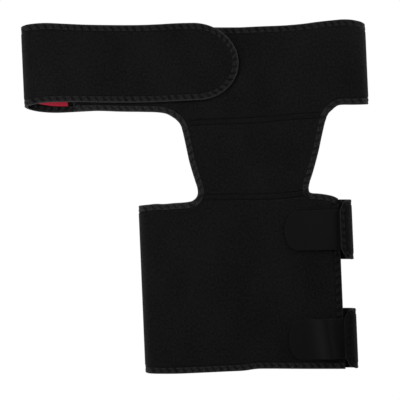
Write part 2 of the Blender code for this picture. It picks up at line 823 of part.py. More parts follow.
def belt_edges(brace):
    """The belt's pattern, anticlockwise from the bottom of its covered end: left of the hip
    panel, seam, right of it, all the way round the strip, covered end."""
    belt, middle, height = brace.belt, BELT_Y, BELT_HEIGHT
    seam_line = brace.on_belt_front(shifted(brace.belt_seam, SEAM_HALF_GAP))
    left_of_hip = brace.on_belt_front(brace.left_side[0])[:-1] + seam_line[:1]
    left_of_hip[0].x = 0.0
    right_of_hip = seam_line[-1:] + brace.on_belt_front(list(reversed(brace.right_side[0])))[1:]

    rear_low = sized(REAR_BOTTOM, brace.right_fold, brace.left_fold, middle, height)
    over_low = sized(OVERLAP_BOTTOM, brace.left_fold, brace.round_start, middle, height)
    bottom = smooth(
        [tuple(right_of_hip[-1]), (brace.right_fold, middle + RIGHT_FOLD_BOTTOM * height)]
        + rear_low
        + [(brace.left_fold, middle + LEFT_FOLD_BOTTOM * height)]
        + over_low
    )
    front_high = sized(FRONT_TOP, 0.0, brace.right_fold, middle, height)
    rear_high = sized(REAR_TOP, brace.right_fold, brace.left_fold, middle, height)
    over_high = sized(OVERLAP_TOP, brace.left_fold, brace.round_start, middle, height)
    top = smooth(
        front_high
        + [(brace.right_fold, middle + RIGHT_FOLD_TOP * height)]
        + rear_high
        + [(brace.left_fold, middle + LEFT_FOLD_TOP * height)]
        + over_high
    )
    low, high = bottom[-1], top[-1]
    centre, half = (low + high) / 2, (high - low).length / 2
    tip = []
    for step in range(1, ROUND_END_FACETS):
        angle = math.pi * (step / ROUND_END_FACETS - 0.5)
        tip.append(centre + Vector((ROUND_END_LENGTH * math.cos(angle), half * math.sin(angle))))
    around = thinned(bottom) + tip + list(reversed(thinned(top)))
    end = [around[-1], left_of_hip[0]]
    return within_tape(
        (
            (left_of_hip, TAPE_WIDTH),
            (seam_line, SEAM_FLANGE),
            (right_of_hip, TAPE_WIDTH),
            (around, TAPE_WIDTH),
            (end, TAPE_WIDTH),
        ),
        {1: brace.tape_headings(0)},
    )


def hip_edges(brace):
    """The hip panel's pattern, anticlockwise: left side, lower seam, right side, upper seam."""
    top = shifted(brace.belt_seam, -SEAM_HALF_GAP)
    bottom = shifted(brace.thigh_seam, SEAM_HALF_GAP)
    left = top[:1] + brace.left_side[1][1:-1] + bottom[:1]
    right = bottom[-1:] + list(reversed(brace.right_side[1][1:-1])) + top[-1:]
    top.reverse()
    edges = ((left, TAPE_WIDTH), (bottom, SEAM_FLANGE), (right, TAPE_WIDTH), (top, SEAM_FLANGE))
    upper, lower = brace.tape_headings(0), brace.tape_headings(1)
    return within_tape(edges, {1: lower, 3: list(reversed(upper))})


def tongue_spans():
    """Lowest and highest Y of the upper and the lower tongue."""
    top = THIGH_Y + THIGH_END_TOP * THIGH_HEIGHT - TONGUE_INSET
    bottom = THIGH_Y + THIGH_END_BOTTOM * THIGH_HEIGHT + TONGUE_INSET
    return {"upper": (top - TONGUE_HEIGHT, top), "lower": (bottom, bottom + TONGUE_HEIGHT)}


def thigh_edges(brace):
    """The thigh wrap's pattern, anticlockwise from the bottom of its rear end: lower edge, front
    end, upper edge right of the hip panel, seam, upper edge left of it and on round the fold,
    then the rear end from top to bottom: tongue seam, bound gap, tongue seam."""
    thigh, middle, height = brace.thigh, THIGH_Y, THIGH_HEIGHT
    fold, total = brace.thigh_fold, brace.thigh.total
    end_low, end_high = middle + THIGH_END_BOTTOM * height, middle + THIGH_END_TOP * height
    rear_low = sized(reversed(THIGH_REAR_BOTTOM), fold, 0.0, middle, height)
    front_low = sized(THIGH_FRONT_BOTTOM, fold, total, middle, height)
    bottom = smooth(
        [(0.0, end_low)]
        + rear_low
        + [(fold, middle + THIGH_FOLD_BOTTOM * height)]
        + front_low
        + [(total, end_low)]
    )
    seam_line = brace.on_thigh_front(shifted(brace.thigh_seam, -SEAM_HALF_GAP))
    seam_line.reverse()
    right_top = seam_line[:1] + brace.on_thigh_front(brace.right_side[2])[1:-1]
    right_top.append(Vector((total, end_high)))
    right_top.reverse()
    left_top = seam_line[-1:] + brace.on_thigh_front(brace.left_side[2])[1:]
    rear_high = sized(THIGH_REAR_TOP, fold, 0.0, middle, height)
    over_fold = smooth(
        [tuple(left_top[-1]), (fold, middle + THIGH_FOLD_TOP * height)]
        + rear_high
        + [(0.0, end_high)]
    )
    spans = tongue_spans()
    gap_top, gap_low = spans["upper"][0], spans["lower"][1]
    step = TAPE_WIDTH / RIM_FACETS
    upper = [Vector((0, y)) for y in (end_high, gap_top, gap_top - step)]
    gap = [Vector((0, y)) for y in (gap_top - step, gap_top - 2 * step)]
    gap += [Vector((0, y)) for y in (gap_low + 2 * step, gap_low + step)]
    lower = [Vector((0, y)) for y in (gap_low + step, gap_low, end_low)]
    return within_tape(
        (
            (thinned(bottom), TAPE_WIDTH),
            ([Vector((total, end_low)), right_top[0]], TAPE_WIDTH),
            (right_top, TAPE_WIDTH),
            (seam_line, SEAM_FLANGE),
            (left_top[:-1] + thinned(over_fold), TAPE_WIDTH),
            (upper, SEAM_FLANGE),
            (gap, TAPE_WIDTH),
            (lower, SEAM_FLANGE),
        ),
        {3: list(reversed(brace.tape_headings(1)))},
    )


def tongue_outline(path, low, high):
    """Pattern line round the free sides of a tongue, from the bottom of its root to the top."""
    middle, half, corner = (low + high) / 2, TAB_WIDTH / 2, TONGUE_END_RADIUS
    taper, end = path.lengths[-2], path.total
    lower_half = [Vector((0, low)), Vector((taper - corner, low))]
    lower_half.append(Vector((taper, low + corner * TONGUE_CORNER_DROP)))
    tip = Vector((end, middle - half))
    slope = (tip - lower_half[-1]).normalized()
    start = tip - slope * corner * TONGUE_TIP_REACH
    stop = tip + Vector((0, corner * TONGUE_TIP_REACH))
    for step in range(TONGUE_TIP_FACETS + 1):
        share = step / TONGUE_TIP_FACETS
        lower_half.append(start.lerp(tip, share).lerp(tip.lerp(stop, share), share))
    upper_half = [Vector((p.x, 2 * middle - p.y)) for p in reversed(lower_half)]
    return lower_half + upper_half


def make_tongues():
    path = tongue_path()
    stations = path.lengths[1:-1]
    across = Vector((1, 0))
    for name, (low, high) in tongue_spans().items():
        around = tongue_outline(path, low, high)
        root = [around[-1], around[0]]
        edges = within_tape(((around, TONGUE_TAPE_WIDTH), (root, SEAM_FLANGE)), {})
        pattern_piece(f"{name}_tongue", edges, path.place, stations, 0, "neoprene_knit")
        parts = [(edges[0][0], path.place, stations, 0)]
        binding(f"{name}_tongue_binding", parts, TONGUE_TAPE_WIDTH, 1)
        ends = (low + TAPE_FACE, high - TAPE_FACE)
        seam_line = [Vector((-SEAM_HALF_GAP, y)) for y in ends]
        seam(f"{name}_tongue_seam", seam_line, path.place, (across, across))


def make_tabs():
    """Hook tabs: flat, rounded at the free end, sewn under the tongues."""
    start = THIGH_END_X + tongue_front()
    for name, (low, high) in tongue_spans().items():
        middle = (low + high) / 2
        lean = THIGH_LEAN * (THIGH_Y - middle)
        half = TAB_WIDTH / 2
        round_x = start - TAB_LENGTH + TAB_ROUND
        outline = [Vector((start + TAB_UNDER, -half)), Vector((start + TAB_UNDER, half))]
        for step in range(TAB_END_FACETS + 1):
            angle = math.pi * (0.5 + step / TAB_END_FACETS)
            outline.append(Vector((round_x + TAB_ROUND * math.cos(angle), half * math.sin(angle))))

        def place(x, y, height):
            rise = middle + TAB_RISE * (x - start)
            return Vector((x + lean - TAB_RISE * y, rise + y, TAB_Z + height))

        slab(f"{name}_hook_tab", outline, TAB_THICK, place, "hook_tape")


def make_hook_patch():
    """Hook patch under the round end of the overlap, gripping the front of the belt."""
    tip_x = ROUND_END_START + ROUND_END_LENGTH - BELT_WIDTH / 2
    low = BELT_Y + OVERLAP_BOTTOM[-1][1] * BELT_HEIGHT + HOOK_MARGIN
    high = BELT_Y + OVERLAP_TOP[-1][1] * BELT_HEIGHT - HOOK_MARGIN
    middle, half = (low + high) / 2, (high - low) / 2
    length = ROUND_END_LENGTH - HOOK_MARGIN
    round_x = tip_x - HOOK_MARGIN - length
    start_x = tip_x - HOOK_MARGIN - HOOK_LENGTH
    outline = [Vector((start_x, middle + half)), Vector((start_x, middle - half))]
    for step in range(TAB_END_FACETS + 1):
        angle = math.pi * (step / TAB_END_FACETS - 0.5)
        outline.append(Vector((round_x + length * math.cos(angle), middle + half * math.sin(angle))))
    level = (FRONT_Z + OVERLAP_Z) / 2

    def place(x, y, height):
        return Vector((x + BELT_LEAN * (BELT_Y - y), y, level + height))

    slab("belt_hook_patch", outline, HOOK_THICK, place, "hook_tape")


def make_label():
    """Small woven label on the inner face of the belt's rear layer."""
    left = LABEL_START - BELT_WIDTH / 2
    bottom = BELT_Y + LABEL_FOOT * BELT_HEIGHT
    right, top = left + LABEL_LENGTH, bottom + LABEL_HEIGHT
    outline = [Vector(p) for p in ((left, bottom), (right, bottom), (right, top), (left, top))]
    level = WALL + GAP + LABEL_THICK / 2

    def place(x, y, height):
        return Vector((x, y, level + height))

    slab("belt_label", outline, LABEL_THICK, place, "label_satin")


def cut_line(line, length):
    """The parts of a pattern line before and after it first passes the length."""
    for i, (a, b) in enumerate(zip(line, line[1:])):
        if min(a.x, b.x) <= length <= max(a.x, b.x) and abs(b.x - a.x) > 1e-9:
            spot = a.lerp(b, (length - a.x) / (b.x - a.x))
            return line[: i + 1] + [spot], [spot] + line[i + 1 :]


def make_bindings(brace, belt_lines, hip_lines, thigh_lines):
    """The edge tapes. A side tape runs on over both seams, as the real one does."""
    belt = (brace.belt.place, brace.belt.lengths[1:-1], 0)
    thigh = (brace.thigh.place, brace.thigh.lengths[1:-1], 0)
    hip = (hip_place, [spot[0] for spot in hip_stations()], 1)
    left_of_hip, _, right_of_hip, around, belt_end = belt_lines
    hip_left, _, hip_right, _ = hip_lines
    bottom, front_end, right_top, _, left_top, _, rear_gap, _ = thigh_lines

    lower, rest = cut_line(around, (brace.right_fold + brace.left_fold) / 2)
    rest = shortened(rest, GAP, True)
    binding("belt_binding", [(rest, *belt)], TAPE_WIDTH, 1)

    down = list(reversed(right_of_hip[:-1] + lower))
    parts = [(down, *belt), (list(reversed(hip_right)), *hip), (list(reversed(right_top)), *thigh)]
    binding("right_side_binding", parts, TAPE_WIDTH, -1)
    parts = [(left_of_hip, *belt), (hip_left, *hip), (left_top, *thigh)]
    binding("left_side_binding", parts, TAPE_WIDTH, 1)
    binding("thigh_bottom_binding", [(bottom, *thigh)], TAPE_WIDTH, 1)

    for name, line, domain, trim in (
        ("belt_end_binding", belt_end, belt, TAPE_WIDTH),
        ("thigh_front_end_binding", front_end, thigh, TAPE_WIDTH),
        ("thigh_rear_end_binding", rear_gap[1:-1], thigh, GAP),
    ):
        line = shortened(shortened(line, trim, True), trim, False)
        binding(name, [(line, *domain)], TAPE_WIDTH, 1)


def main():
    for old in list(bpy.data.objects):
        bpy.data.objects.remove(old)
    group = bpy.data.collections.new(COLLECTION)
    bpy.context.scene.collection.children.link(group)
    for name in MATERIALS:
        make_material(name)
    brace = Brace()
    belt, hip, thigh = belt_edges(brace), hip_edges(brace), thigh_edges(brace)
    belt_stations, thigh_stations = brace.belt.lengths[1:-1], brace.thigh.lengths[1:-1]
    sag_stations = [spot[0] for spot in hip_stations()]
    pattern_piece("waist_belt", belt, brace.belt.place, belt_stations, 0, "neoprene_knit")
    pattern_piece("hip_panel", hip, hip_place, sag_stations, 1, "neoprene_knit")
    pattern_piece("thigh_wrap", thigh, brace.thigh.place, thigh_stations, 0, "neoprene_knit")
    brace.make_seams()
    lines = [[line for line, _ in edges] for edges in (belt, hip, thigh)]
    make_bindings(brace, *lines)
    make_tongues()
    make_tabs()
    make_hook_patch()
    make_label()


main()
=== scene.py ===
# Hip brace with a thigh compression sleeve, laid flat on a white table: neoprene with a knitted
# face, bound with tape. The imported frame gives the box. Metres, +Z up, as in the frame.
import math
from bisect import bisect_right

import bmesh
import bpy
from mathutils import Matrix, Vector
from mathutils.geometry import intersect_line_line_2d


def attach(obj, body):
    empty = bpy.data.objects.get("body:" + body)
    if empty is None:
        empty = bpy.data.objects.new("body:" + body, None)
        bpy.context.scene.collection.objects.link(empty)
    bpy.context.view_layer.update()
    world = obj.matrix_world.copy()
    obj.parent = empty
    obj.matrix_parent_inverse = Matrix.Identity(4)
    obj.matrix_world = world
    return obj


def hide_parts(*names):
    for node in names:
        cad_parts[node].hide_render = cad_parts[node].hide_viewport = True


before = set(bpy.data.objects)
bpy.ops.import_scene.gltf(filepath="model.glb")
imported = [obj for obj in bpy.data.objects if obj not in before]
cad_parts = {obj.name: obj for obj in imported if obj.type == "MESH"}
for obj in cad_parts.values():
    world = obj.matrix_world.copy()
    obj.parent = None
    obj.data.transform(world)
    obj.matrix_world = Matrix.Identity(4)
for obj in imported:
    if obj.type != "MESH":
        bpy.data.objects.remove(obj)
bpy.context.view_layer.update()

print("frame loaded, nodes:", len(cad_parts))

# sizes that several pieces share
cloth = {
    "wall": 0.004,  # neoprene, knitted face on both sides
    "squeezed": 0.0018,  # under the tape and beside a seam
    "swellRun": 0.0034,  # over which the foam swells back
    "swellShares": (0.08, 0.25, 0.5, 0.75, 1.0),  # where the mesh follows that swell
    "seamFlange": 0.0028,
    "seamHalfGap": 0.0006,
    "gap": 0.0003,  # between pieces that touch
    "loopGap": 0.006,  # free height inside the flattened loops
    "unevenFrom": 0.005,  # height from which the laid cloth is uneven
    "columnStep": 0.003,
    "closest": 0.0004,  # between two columns
    "beside": 0.0002,  # columns this close to where a seam ends
    "probe": 0.001,  # for the slope of an edge
    "cornerPoints": 12,
    "beltRows": 16,
    "wrapRows": 36,
    "tongueRows": 14,
    "roundSteps": 40,
}
tape = {
    "nose": 0.001,  # stands out past the cut edge of the foam
    "width": 0.0071,  # from the cut edge in
    "tongueWidth": 0.0051,
    "crown": 0.00195,  # height of its back above the middle of the wall
    "edge": 0.00172,
    "rim": ((0, 0.0004), (0.0001, 0.0001), (0.0005, 0)),  # its edge: in, and below the back
    "across": (0.9, 0.78, 0.67, 0.56, 0.45, 0.34, 0.23, 0.13),  # shares of the width
    "bulge": 1.15,
    "turnIn": 0.0004,  # where the back starts to turn over the cut edge, in so many steps
    "turnSteps": 6,
    "turnDrop": 0.00008,
    "play": 0.0001,  # around the foam in the slot
}
belt = {
    "width": 0.4308, "height": 0.100, "lean": 0.045, "peak": 0.569, "seamDrop": 0.690,
    "leftRadius": 0.0095, "rightRadius": 0.008, "foldRun": 0.034, "overlapRun": 0.088,
    "innerEnd": 0.0615, "roundStart": 0.2155, "roundLength": 0.0548,
    # edges: share of the way along the layer, height as a share of the belt's height
    "frontTop": [
        (0.00, 0.438), (0.23, 0.444), (0.44, 0.456), (0.56, 0.470), (0.64, 0.484), (0.72, 0.496),
        (0.78, 0.515), (0.83, 0.540), (0.88, 0.560), (0.915, 0.569), (0.945, 0.563), (0.975, 0.540),
    ],
    "rightFoldTop": 0.510,
    "rearTop": [(0.04, 0.490), (0.18, 0.492), (0.36, 0.480), (0.50, 0.480), (0.70, 0.475),
                (0.94, 0.470)],
    "leftFoldTop": 0.475,
    "overlapTop": [
        (0.07, 0.504), (0.15, 0.519), (0.27, 0.510), (0.38, 0.500), (0.52, 0.495), (0.69, 0.495),
        (0.80, 0.504), (0.90, 0.517), (1.00, 0.523),
    ],
    "rightFoldBottom": -0.492,
    "rearBottom": [
        (0.04, -0.482), (0.20, -0.488), (0.48, -0.512), (0.70, -0.548), (0.83, -0.580),
        (0.90, -0.594), (0.93, -0.590), (0.96, -0.575),
    ],
    "leftFoldBottom": -0.532,
    "overlapBottom": [
        (0.06, -0.506), (0.12, -0.480), (0.21, -0.468), (0.30, -0.466), (0.46, -0.471),
        (0.63, -0.473), (0.80, -0.464), (0.91, -0.452), (1.00, -0.443),
    ],
    "leftOfHip": [
        (0.00, -0.586), (0.22, -0.575), (0.44, -0.584), (0.66, -0.588), (0.79, -0.594),
        (0.866, -0.611), (0.92, -0.648), (0.963, -0.690),
    ],
    "rightOfHip": [
        (0.061, -0.585), (0.122, -0.556), (0.183, -0.528), (0.256, -0.506), (0.354, -0.499),
        (0.60, -0.500), (0.80, -0.499),
    ],
    "seam": [
        (-1.00, -0.750), (-0.75, -0.716), (-0.40, -0.704), (-0.10, -0.697), (0.20, -0.676),
        (0.50, -0.650), (0.80, -0.634), (1.00, -0.619),
    ],
}
hip = {
    "offset": 0.0741, "topWidth": 0.1838, "length": 0.0956, "sag": 0.003, "rows": 24, "columns": 40,
    # sides: share of the way down, distance from the centre as a share of half the top width
    "left": [
        (0.07, 0.977), (0.18, 0.951), (0.344, 0.916), (0.51, 0.880), (0.675, 0.832),
        (0.785, 0.798), (0.868, 0.772), (0.945, 0.766),
    ],
    "right": [
        (0.045, 0.984), (0.10, 0.965), (0.20, 0.940), (0.30, 0.917), (0.456, 0.883),
        (0.61, 0.842), (0.764, 0.795), (0.867, 0.759), (0.95, 0.744),
    ],
}
wrap = {
    "offset": 0.0589, "width": 0.2504, "height": 0.210, "lean": 0.042, "radius": 0.0075,
    "seamRise": 0.537, "foot": 0.517, "foldRun": 0.034,
    "seam": [(-0.785, 0.532), (-0.45, 0.535), (-0.05, 0.537), (0.35, 0.540), (0.759, 0.563)],
    "leftTop": [
        (0.035, 0.522), (0.08, 0.512), (0.15, 0.507), (0.26, 0.503), (0.46, 0.499),
        (0.64, 0.494), (0.80, 0.495), (0.92, 0.491),
    ],
    "foldTop": 0.484,
    "rightTop": [(0.07, 0.559), (0.32, 0.556), (0.58, 0.550), (0.83, 0.540)],
    "endTop": 0.526,
    "rearTop": [(0.10, 0.482), (0.50, 0.505), (0.80, 0.518)],
    "foldBottom": -0.510,
    "frontBottom": [
        (0.03, -0.5135), (0.09, -0.516), (0.17, -0.5168), (0.25, -0.513), (0.41, -0.504),
        (0.50, -0.4985), (0.56, -0.4885), (0.62, -0.487), (0.80, -0.488),
    ],
    "rearBottom": [(0.10, -0.508), (0.40, -0.498), (0.60, -0.485), (0.80, -0.483)],
    "endBottom": -0.488,
}
tongue = {"height": 0.075, "reach": 0.0165, "inset": 0.001, "endRadius": 0.008, "cornerReach": 0.6,
          "frontFrom": 0.6, "outlineStep": 0.002, "sewnRun": 0.004}
tab = {"width": 0.050, "length": 0.069, "under": 0.005, "thick": 0.0016, "round": 0.0165,
       "rise": 0.033,
       # each tab arches up: crest from the tongue's tip, run before and after it, height, slant
       "arches": {"upper": (-0.011, 0.025, 0.0055, 0.0024, 0.0),
                  "lower": (-0.0205, 0.013, 0.0088, 0.0064, 0.13)}}
hookPatch = {"thick": 0.0016, "length": 0.110, "margin": 0.012}
# hook tape is cut with a thin rim: rows in from the edge, the run and share of that rim
slab = {"rimSteps": (0, 0.0003, 0.0007, 0.0016), "rimRun": 0.0007, "rimShare": 0.45,
        "step": 0.0015, "rows": 12, "roundSteps": 32}
label = {"length": 0.037, "height": 0.016, "thick": 0.0005, "start": 0.0195, "foot": -0.512,
         "stand": 0.0042, "drawn": 0.0032, "drawnShare": 0.7, "rimShare": 0.6,
         "columns": 20, "rows": 10}

overall = (belt["peak"] + belt["seamDrop"]) * belt["height"] + hip["length"]
overall += (wrap["seamRise"] + wrap["foot"]) * wrap["height"]
beltY = overall / 2 - belt["peak"] * belt["height"]
wrapY = wrap["foot"] * wrap["height"] - overall / 2
wrapEndX = wrap["offset"] + wrap["width"] / 2
rearZ = cloth["wall"] / 2
frontZ = rearZ + cloth["wall"] + cloth["loopGap"]
overlapZ = frontZ + cloth["wall"] + hookPatch["thick"] + 2 * cloth["gap"]
tabZ = frontZ + cloth["wall"] / 2 + cloth["gap"] + tab["thick"] / 2
tongueZ = tabZ + tab["thick"] / 2 + cloth["gap"] + cloth["wall"] / 2
tongueFront = tongue["reach"] - cloth["wall"] - (tongueZ - rearZ) / 2 - tongue["endRadius"] / 2

# gentle unevenness of cloth that was folded and laid down: height, waves per metre, phase
waves = [(0.00016, 34, 21, 0.4), (0.00014, -23, 47, 1.9), (0.0001, 71, 12, 2.7),
         (0.00009, 18, -83, 0.9)]


# lines and folds
def curveThrough(points, spacing=0.002):
    # centripetal Catmull-Rom, the points keep their places
    points = [Vector(p) for p in points]
    ends = [2 * points[0] - points[1], *points, 2 * points[-1] - points[-2]]
    curve = [points[0]]
    for before, a, b, after in zip(ends, ends[1:], ends[2:], ends[3:]):
        knots = [0.0]
        for p, q in ((before, a), (a, b), (b, after)):
            knots.append(knots[-1] + math.sqrt((q - p).length))
        count = max(1, round((b - a).length / spacing))
        for step in range(1, count + 1):
            t = knots[1] + (knots[2] - knots[1]) * step / count
            level = (before, a, b, after)
            for depth in (1, 2):
                level = [level[i].lerp(level[i + 1], (t - knots[i]) / (knots[i + depth] - knots[i]))
                         for i in range(len(level) - 1)]
            curve.append(level[0].lerp(level[1], (t - knots[1]) / (knots[2] - knots[1])))
    return curve


def sized(rows, start, end, middle, height):
    return [(start + share * (end - start), middle + rise * height) for share, rise in rows]


def lead(stations, end, count, eased):
    start = stations[-1]
    for step in range(1, count + 1):
        share = step / count
        stations.append((start[0] + (end[0] - start[0]) * share,
                         start[1] + (end[1] - start[1]) * eased(share)))


def straight(stations, end):
    count = max(1, round(abs(end[0] - stations[-1][0]) / cloth["columnStep"]))
    lead(stations, end, count, lambda share: share)


def slope(stations, end, count=16):
    lead(stations, end, count, lambda share: (1 - math.cos(math.pi * share)) / 2)


def turn(stations, centre, radius, start, sweep, count=26):
    for step in range(1, count + 1):
        angle = math.radians(start + sweep * step / count)
        stations.append((centre[0] + radius * math.cos(angle),
                         centre[1] + radius * math.sin(angle)))


def foldLine(stations, lean, middleY):
    points = [Vector(p) for p in stations]
    ways = [(b - a).normalized() for a, b in zip(points, points[1:])]
    lengths = [0.0]
    for a, b in zip(points, points[1:]):
        lengths.append(lengths[-1] + (b - a).length)
    normals = [Vector((-(a + b).y, (a + b).x)).normalized()
               for a, b in zip(ways[:1] + ways, ways + ways[-1:])]
    return {"points": points, "lengths": lengths, "normals": normals, "lean": lean,
            "middleY": middleY, "total": lengths[-1]}


def ripple(x, y):
    return sum(high * math.sin(across * x + up * y + phase) for high, across, up, phase in waves)


def placeOn(fold):
    # a point of the cut pattern, bent along the fold line; h is its height off the wall's middle
    points, lengths, normals = fold["points"], fold["lengths"], fold["normals"]

    def place(s, y, h):
        i = min(max(bisect_right(lengths, s) - 1, 0), len(lengths) - 2)
        share = (s - lengths[i]) / (lengths[i + 1] - lengths[i])
        spot = points[i].lerp(points[i + 1], share)
        front = min(max((spot.y - cloth["unevenFrom"]) / cloth["unevenFrom"], 0), 1)
        spot = spot + normals[i].lerp(normals[i + 1], min(max(share, 0), 1)).normalized() * h
        x = spot.x + fold["lean"] * (fold["middleY"] - y)
        return Vector((x, y, spot.y + front * ripple(x, y)))
    return place


def lengthAt(fold, x, low, high):
    spots = list(zip(fold["lengths"], fold["points"]))
    for (start, a), (end, b) in zip(spots, spots[1:]):
        if end < low - 1e-6 or start > high + 1e-6 or abs(b.x - a.x) < 1e-9:
            continue
        if min(a.x, b.x) - 1e-9 <= x <= max(a.x, b.x) + 1e-9:
            return start + (end - start) * (x - a.x) / (b.x - a.x)
    near = {abs(x - p.x): length for length, p in spots if low - 1e-6 <= length <= high + 1e-6}
    return near[min(near)]


def onFold(fold, line, low, high):
    # where points seen from above lie on the cut pattern of one layer
    return [Vector((lengthAt(fold, p[0] - fold["lean"] * (fold["middleY"] - p[1]), low, high), p[1]))
            for p in line]


def furthest(fold, sign, after=0.0):
    return max((sign * p.x, length) for p, length in zip(fold["points"], fold["lengths"])
               if length > after)[1]


def splitCurve(runs):
    whole = curveThrough([p for run in runs for p in run])
    low, found = 0, []
    for run in runs:
        high = min(range(low, len(whole)), key=lambda i: (whole[i] - Vector(run[-1])).length)
        found.append(whole[low:high + 1])
        low = high
    return found


def sideNormals(line):
    ways = [(b - a).normalized() for a, b in zip(line, line[1:])]
    found = []
    for before, after in zip(ways[:1] + ways, ways + ways[-1:]):
        a, b = Vector((-before.y, before.x)), Vector((-after.y, after.x))
        found.append((a + b) / (1 + a.dot(b)))
    return found


def moved(line, amount):
    return [p + n * amount for p, n in zip(line, sideNormals(line))]


def lifted(line, up):
    return [p + Vector((0, up)) for p in line]


def crossing(first, second):
    for i, (a, b) in enumerate(zip(first, first[1:])):
        for j, (c, d) in enumerate(zip(second, second[1:])):
            hit = intersect_line_line_2d(a, b, c, d)
            if hit:
                return i, j, hit
    raise ValueError("two edges that should cross don't")


def heightAlong(line):
    # y of an edge at any length along the strip
    kept = []
    for p in line:
        if not kept or p.x > kept[-1].x + 1e-6:
            kept.append(p)
    lengths = [p.x for p in kept]

    def at(s):
        i = min(max(bisect_right(lengths, s) - 1, 0), len(kept) - 2)
        share = min(max((s - lengths[i]) / (lengths[i + 1] - lengths[i]), -0.5), 1.5)
        return kept[i].y + (kept[i + 1].y - kept[i].y) * share
    return at


# meshes
def newPiece(name, points, faces, corners, material, node=None, slot=None, roundAngle=50, paintedTapeShades=()):
    mesh = bpy.data.meshes.new(name)
    mesh.from_pydata([tuple(p) for p in points], [], faces)
    layer = mesh.uv_layers.new(name="cut")
    for polygon, spots in zip(mesh.polygons, corners):
        for loop, spot in zip(polygon.loop_indices, spots):
            layer.data[loop].uv = spot
    # the painted shade and painted highlight of a tape, kept per point
    if any(paintedTapeShades):
        mesh.attributes.new("paintedTapeShade", "FLOAT", "POINT").data.foreach_set("value", paintedTapeShades)
    work = bmesh.new()
    work.from_mesh(mesh)
    if work.calc_volume(signed=True) < 0:
        bmesh.ops.reverse_faces(work, faces=work.faces)
    work.to_mesh(mesh)
    work.free()
    piece = bpy.data.objects.new(name, mesh)
    bpy.context.scene.collection.objects.link(piece)
    mesh.materials.append(material)
    bpy.ops.object.select_all(action="DESELECT")
    piece.select_set(True)
    bpy.context.view_layer.objects.active = piece
    bpy.ops.object.shade_smooth_by_angle(angle=math.radians(roundAngle))
    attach(piece, "root")
    if node:
        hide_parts(node)
    return piece


def clothPiece(name, grids, place, material, **what):
    # grids of (s, y, half the wall); points that two grids share are made once
    keys, pattern, faces = {}, [], []
    for grid in grids:
        rows = []
        for column in grid:
            row = []
            for s, y, half in column:
                key = (round(s, 6), round(y, 6))
                if key not in keys:
                    keys[key] = len(pattern)
                    pattern.append((s, y, half))
                row.append(keys[key])
            rows.append(row)
        for a, b in zip(rows, rows[1:]):
            for i in range(len(a) - 1):
                face = list(dict.fromkeys((a[i], b[i], b[i + 1], a[i + 1])))
                if len(face) > 2:
                    faces.append(face)
    count = len(pattern)
    points = [place(s, y, side * half) for side in (1, -1) for s, y, half in pattern]
    edges = {(a, b) for face in faces for a, b in zip(face, face[1:] + face[:1])}
    rim = [[b, a, a + count, b + count] for a, b in sorted(edges) if (b, a) not in edges]
    faces += [[i + count for i in reversed(face)] for face in faces] + rim
    corners = [[pattern[i % count][:2] for i in face] for face in faces]
    return newPiece(name, points, faces, corners, material, **what)


def rimSteps(rim):
    swell = [rim + cloth["swellRun"] * share for share in cloth["swellShares"]]
    return [0, rim * 0.5, rim] + swell


def spread(total, rimA, rimB, count, steepA=1.0, steepB=1.0):
    # distances across a panel, closer together where the foam swells
    first = [d * steepA for d in rimSteps(rimA)]
    last = [d * steepB for d in rimSteps(rimB)]
    free = total - first[-1] - last[-1]
    inner = [first[-1] + free * k / count for k in range(1, count)]
    return first + inner + [total - d for d in reversed(last)]


def swollen(depths):
    # half the wall; depths: (distance from an edge, width of its squeezed rim)
    share = min(max((depth - rim) / cloth["swellRun"], 0) for depth, rim in depths)
    thin, full = cloth["squeezed"] / 2, cloth["wall"] / 2
    return thin + (full - thin) * math.sqrt(1 - (1 - min(share, 1)) ** 2)


def distanceTo(line):
    def far(s, y):
        best = 1.0
        for a, b in zip(line, line[1:]):
            wayX, wayY = b.x - a.x, b.y - a.y
            share = ((s - a.x) * wayX + (y - a.y) * wayY) / max(wayX * wayX + wayY * wayY, 1e-12)
            share = min(max(share, 0), 1)
            best = min(best, math.hypot(s - a.x - share * wayX, y - a.y - share * wayY))
        return best
    return far


def stripGrid(columns, low, high, lowRim, highRim, ends, count, corners=()):
    # columns along the strip between two edges; ends: (s, rim at y) of a bound or sewn end;
    # corners: (first s, last s, distance to a bound edge) where a tape crosses a sewn edge's end
    probe = cloth["probe"]
    grid = []
    for s in columns:
        bottom, top = low(s), high(s)
        steepLow, steepHigh = [math.hypot(1, (edge(s + probe) - edge(s - probe)) / (2 * probe))
                               for edge in (low, high)]
        column = []
        for d in spread(top - bottom, lowRim(s), highRim(s), count, steepLow, steepHigh):
            y = bottom + d
            depths = [(d / steepLow, lowRim(s)), ((top - y) / steepHigh, highRim(s))]
            depths += [(abs(s - end), rim(y)) for end, rim in ends]
            depths += [(far(s, y), rim) for first, final, far, rim in corners if first < s < final]
            column.append((s, y, swollen(depths)))
        grid.append(column)
    return grid


def roundEnd(grid, centre, length, half, shares, steps, halfWall):
    # a fan about the centre of a round end; its first and last rows are the strip's last column
    fan = []
    for step in range(steps + 1):
        angle = math.pi * (step / steps - 0.5)
        way = Vector((length * math.cos(angle), half * math.sin(angle)))
        fan.append([(centre[0] + way.x * share, centre[1] + way.y * share,
                     halfWall((1 - share) * way.length)) for share in shares])
    column = fan[0][::-1] + fan[-1][1:]
    if len(column) != len(grid[-1]):
        raise ValueError("a round end has another number of rows than its strip")
    return [grid[:-1] + [column], fan]


def columnsOf(fold, start, stop, extra=()):
    wanted = [(s, 0) for s in (start, stop, *extra)]
    wanted += [(s, 1) for s in fold["lengths"] if start < s < stop]
    kept = []
    for s, spare in sorted(wanted):
        if kept and s - kept[-1][0] < cloth["closest"]:
            if spare:
                continue
            if kept[-1][1]:
                kept.pop()
        kept.append((s, spare))
    return [s for s, spare in kept]


